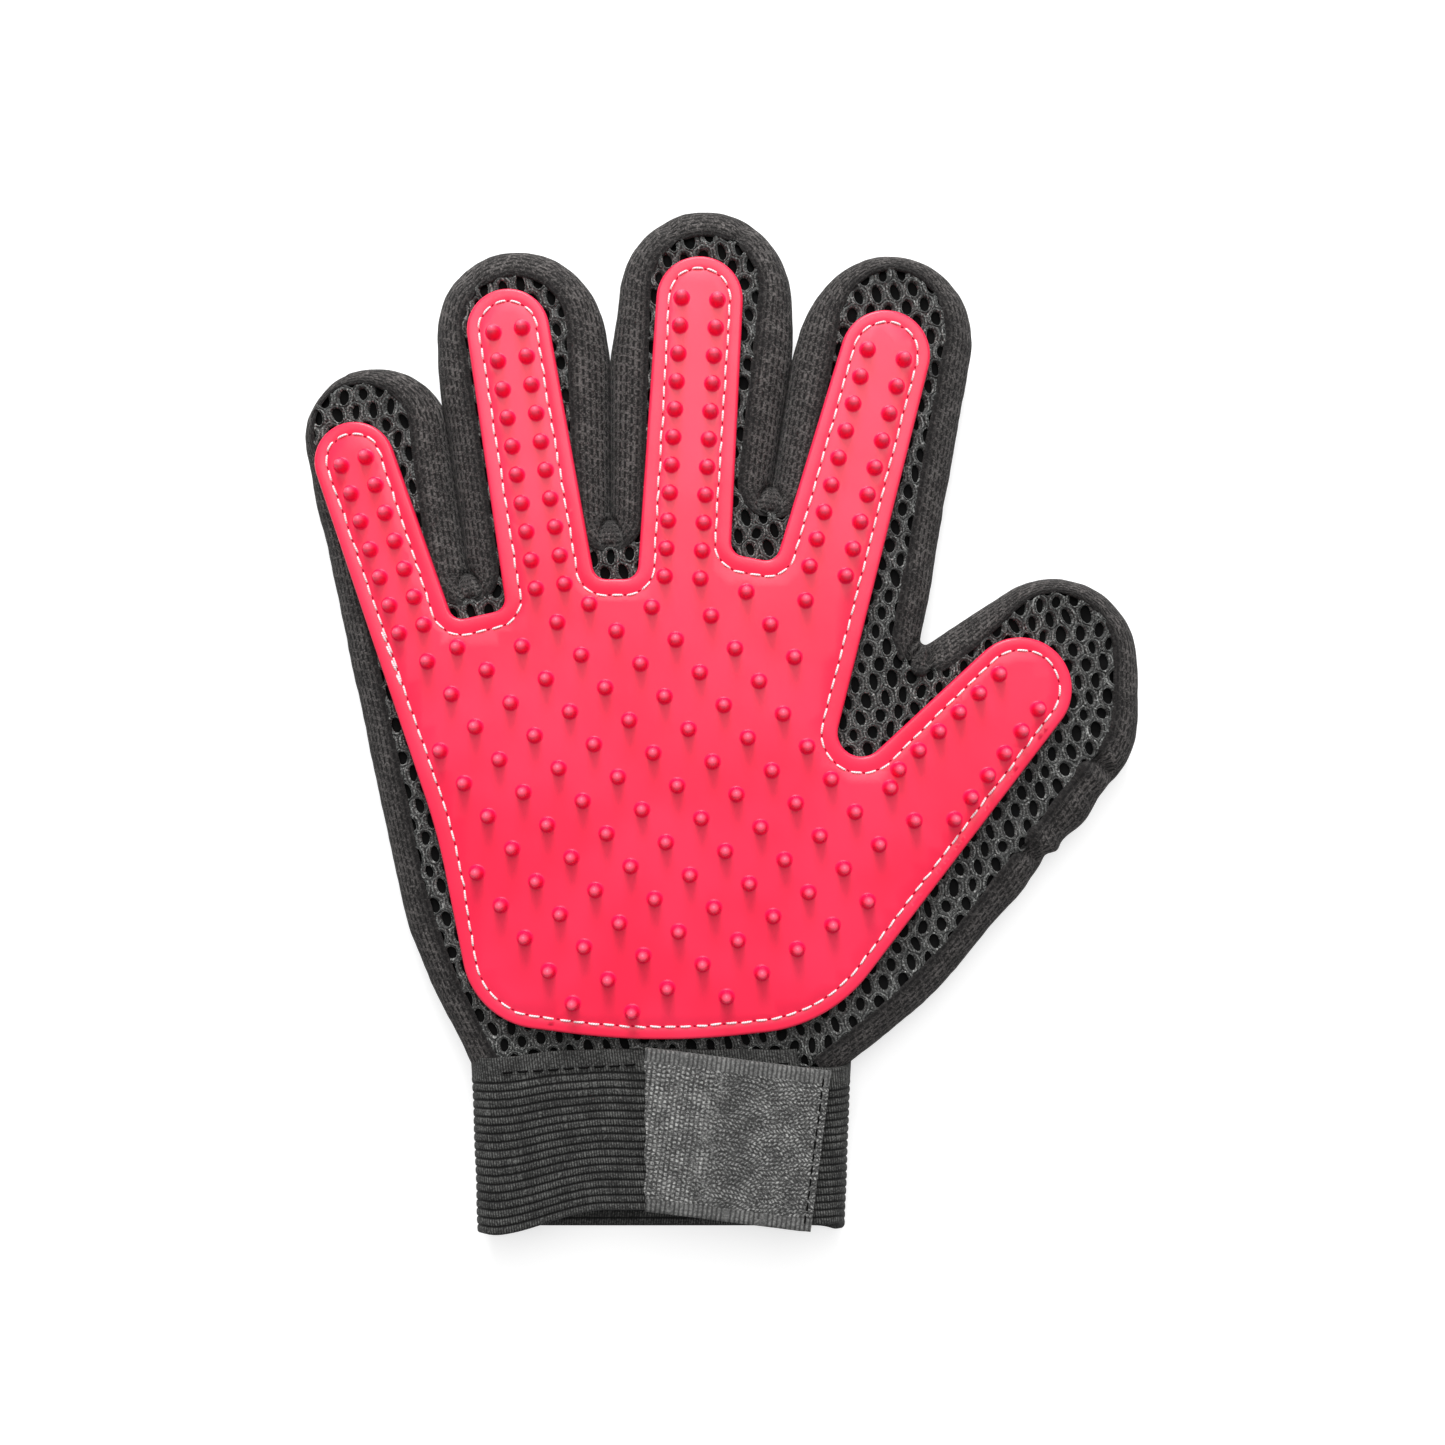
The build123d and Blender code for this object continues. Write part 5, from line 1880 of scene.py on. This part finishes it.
@dataclass(frozen=True)
class Studio:
    """A plain white floor, soft lamps and the camera straight above the palm."""

    camera_place: tuple[float, float, float] = (0.01406, 0.01772, 0.338)
    lens: float = 35.96
    floor_half: float = 3.0
    floor_height: float = -0.0002
    lamps: tuple[Lamp, ...] = (
        Lamp("key_lamp", (-0.06, 1.05, 0.52), 0.45, 13.0),
        Lamp("overhead_lamp", (0.05, 0.55, 1.00), 0.8, 8.0),
    )
    surround: float = 0.36

    def build(self) -> None:
        """Set up the floor, the world, the lamps and the camera."""
        scene = bpy.context.scene
        scene.view_settings.view_transform = "Standard"
        self.floor()
        world = bpy.data.worlds.new("surround")
        scene.world = world
        world.use_nodes = True
        w = Wiring(world.node_tree)
        background = world.node_tree.nodes["Background"]
        background.inputs["Color"].default_value = (1, 1, 1, 1)
        seen = w.add("ShaderNodeLightPath").outputs["Is Camera Ray"]
        strength = w.raised(self.surround, seen, 1.0 - self.surround)
        w.tree.links.new(strength, background.inputs["Strength"])
        for lamp in self.lamps:
            lamp.build()
        data = bpy.data.cameras.new("camera")
        data.sensor_width, data.lens = 36.0, self.lens
        data.clip_start, data.clip_end = 0.01, 20.0
        camera = bpy.data.objects.new("camera", data)
        scene.collection.objects.link(camera)
        camera.location = self.camera_place
        scene.camera = camera

    def floor(self) -> None:
        """The floor: matt white, a little brighter to the camera so that only the shadow shows."""
        h = self.floor_half
        mesh = bpy.data.meshes.new("floor")
        mesh.from_pydata([(-h, -h, 0), (h, -h, 0), (h, h, 0), (-h, h, 0)], [], [(0, 1, 2, 3)])
        floor = bpy.data.objects.new("floor", mesh)
        bpy.context.scene.collection.objects.link(floor)
        floor.location.z = self.floor_height
        material, w, shader = surface("white_floor", Base_Color=(0.6, 0.6, 0.6, 1), Roughness=1.0,
                                      Specular_IOR_Level=0.0, Emission_Color=(1, 1, 1, 1))
        path = w.add("ShaderNodeLightPath")
        direct = w.maths("MAXIMUM", path.outputs["Is Camera Ray"], path.outputs["Is Glossy Ray"])
        seen = w.maths("MAXIMUM", direct, path.outputs["Is Transmission Ray"])
        place = w.add("ShaderNodeTexCoord").outputs["Object"]
        away = w.add("ShaderNodeVectorMath", {0: place}, operation="LENGTH").outputs["Value"]
        glow = w.raised(0.60, w.spread(away, 0.4, 1.4), 0.40)
        w.tree.links.new(w.times(seen, glow), shader.inputs["Emission Strength"])
        mesh.materials.append(material)


def main() -> None:
    """Build the studio and the glove, from the outline inwards."""
    logging.basicConfig(level=logging.INFO, format="%(name)s: %(message)s")
    Studio().build()
    finishes = Finishes()
    gusset, pad = Gusset(), Pad()
    gusset.build(finishes)
    MeshPanels().build(finishes, gusset.seam(), gusset.palm_seam(), pad.outline())
    pad.build(finishes)
    Cuff().build(finishes)
    HookTape().build(finishes)


if __name__ == "__main__":
    main()
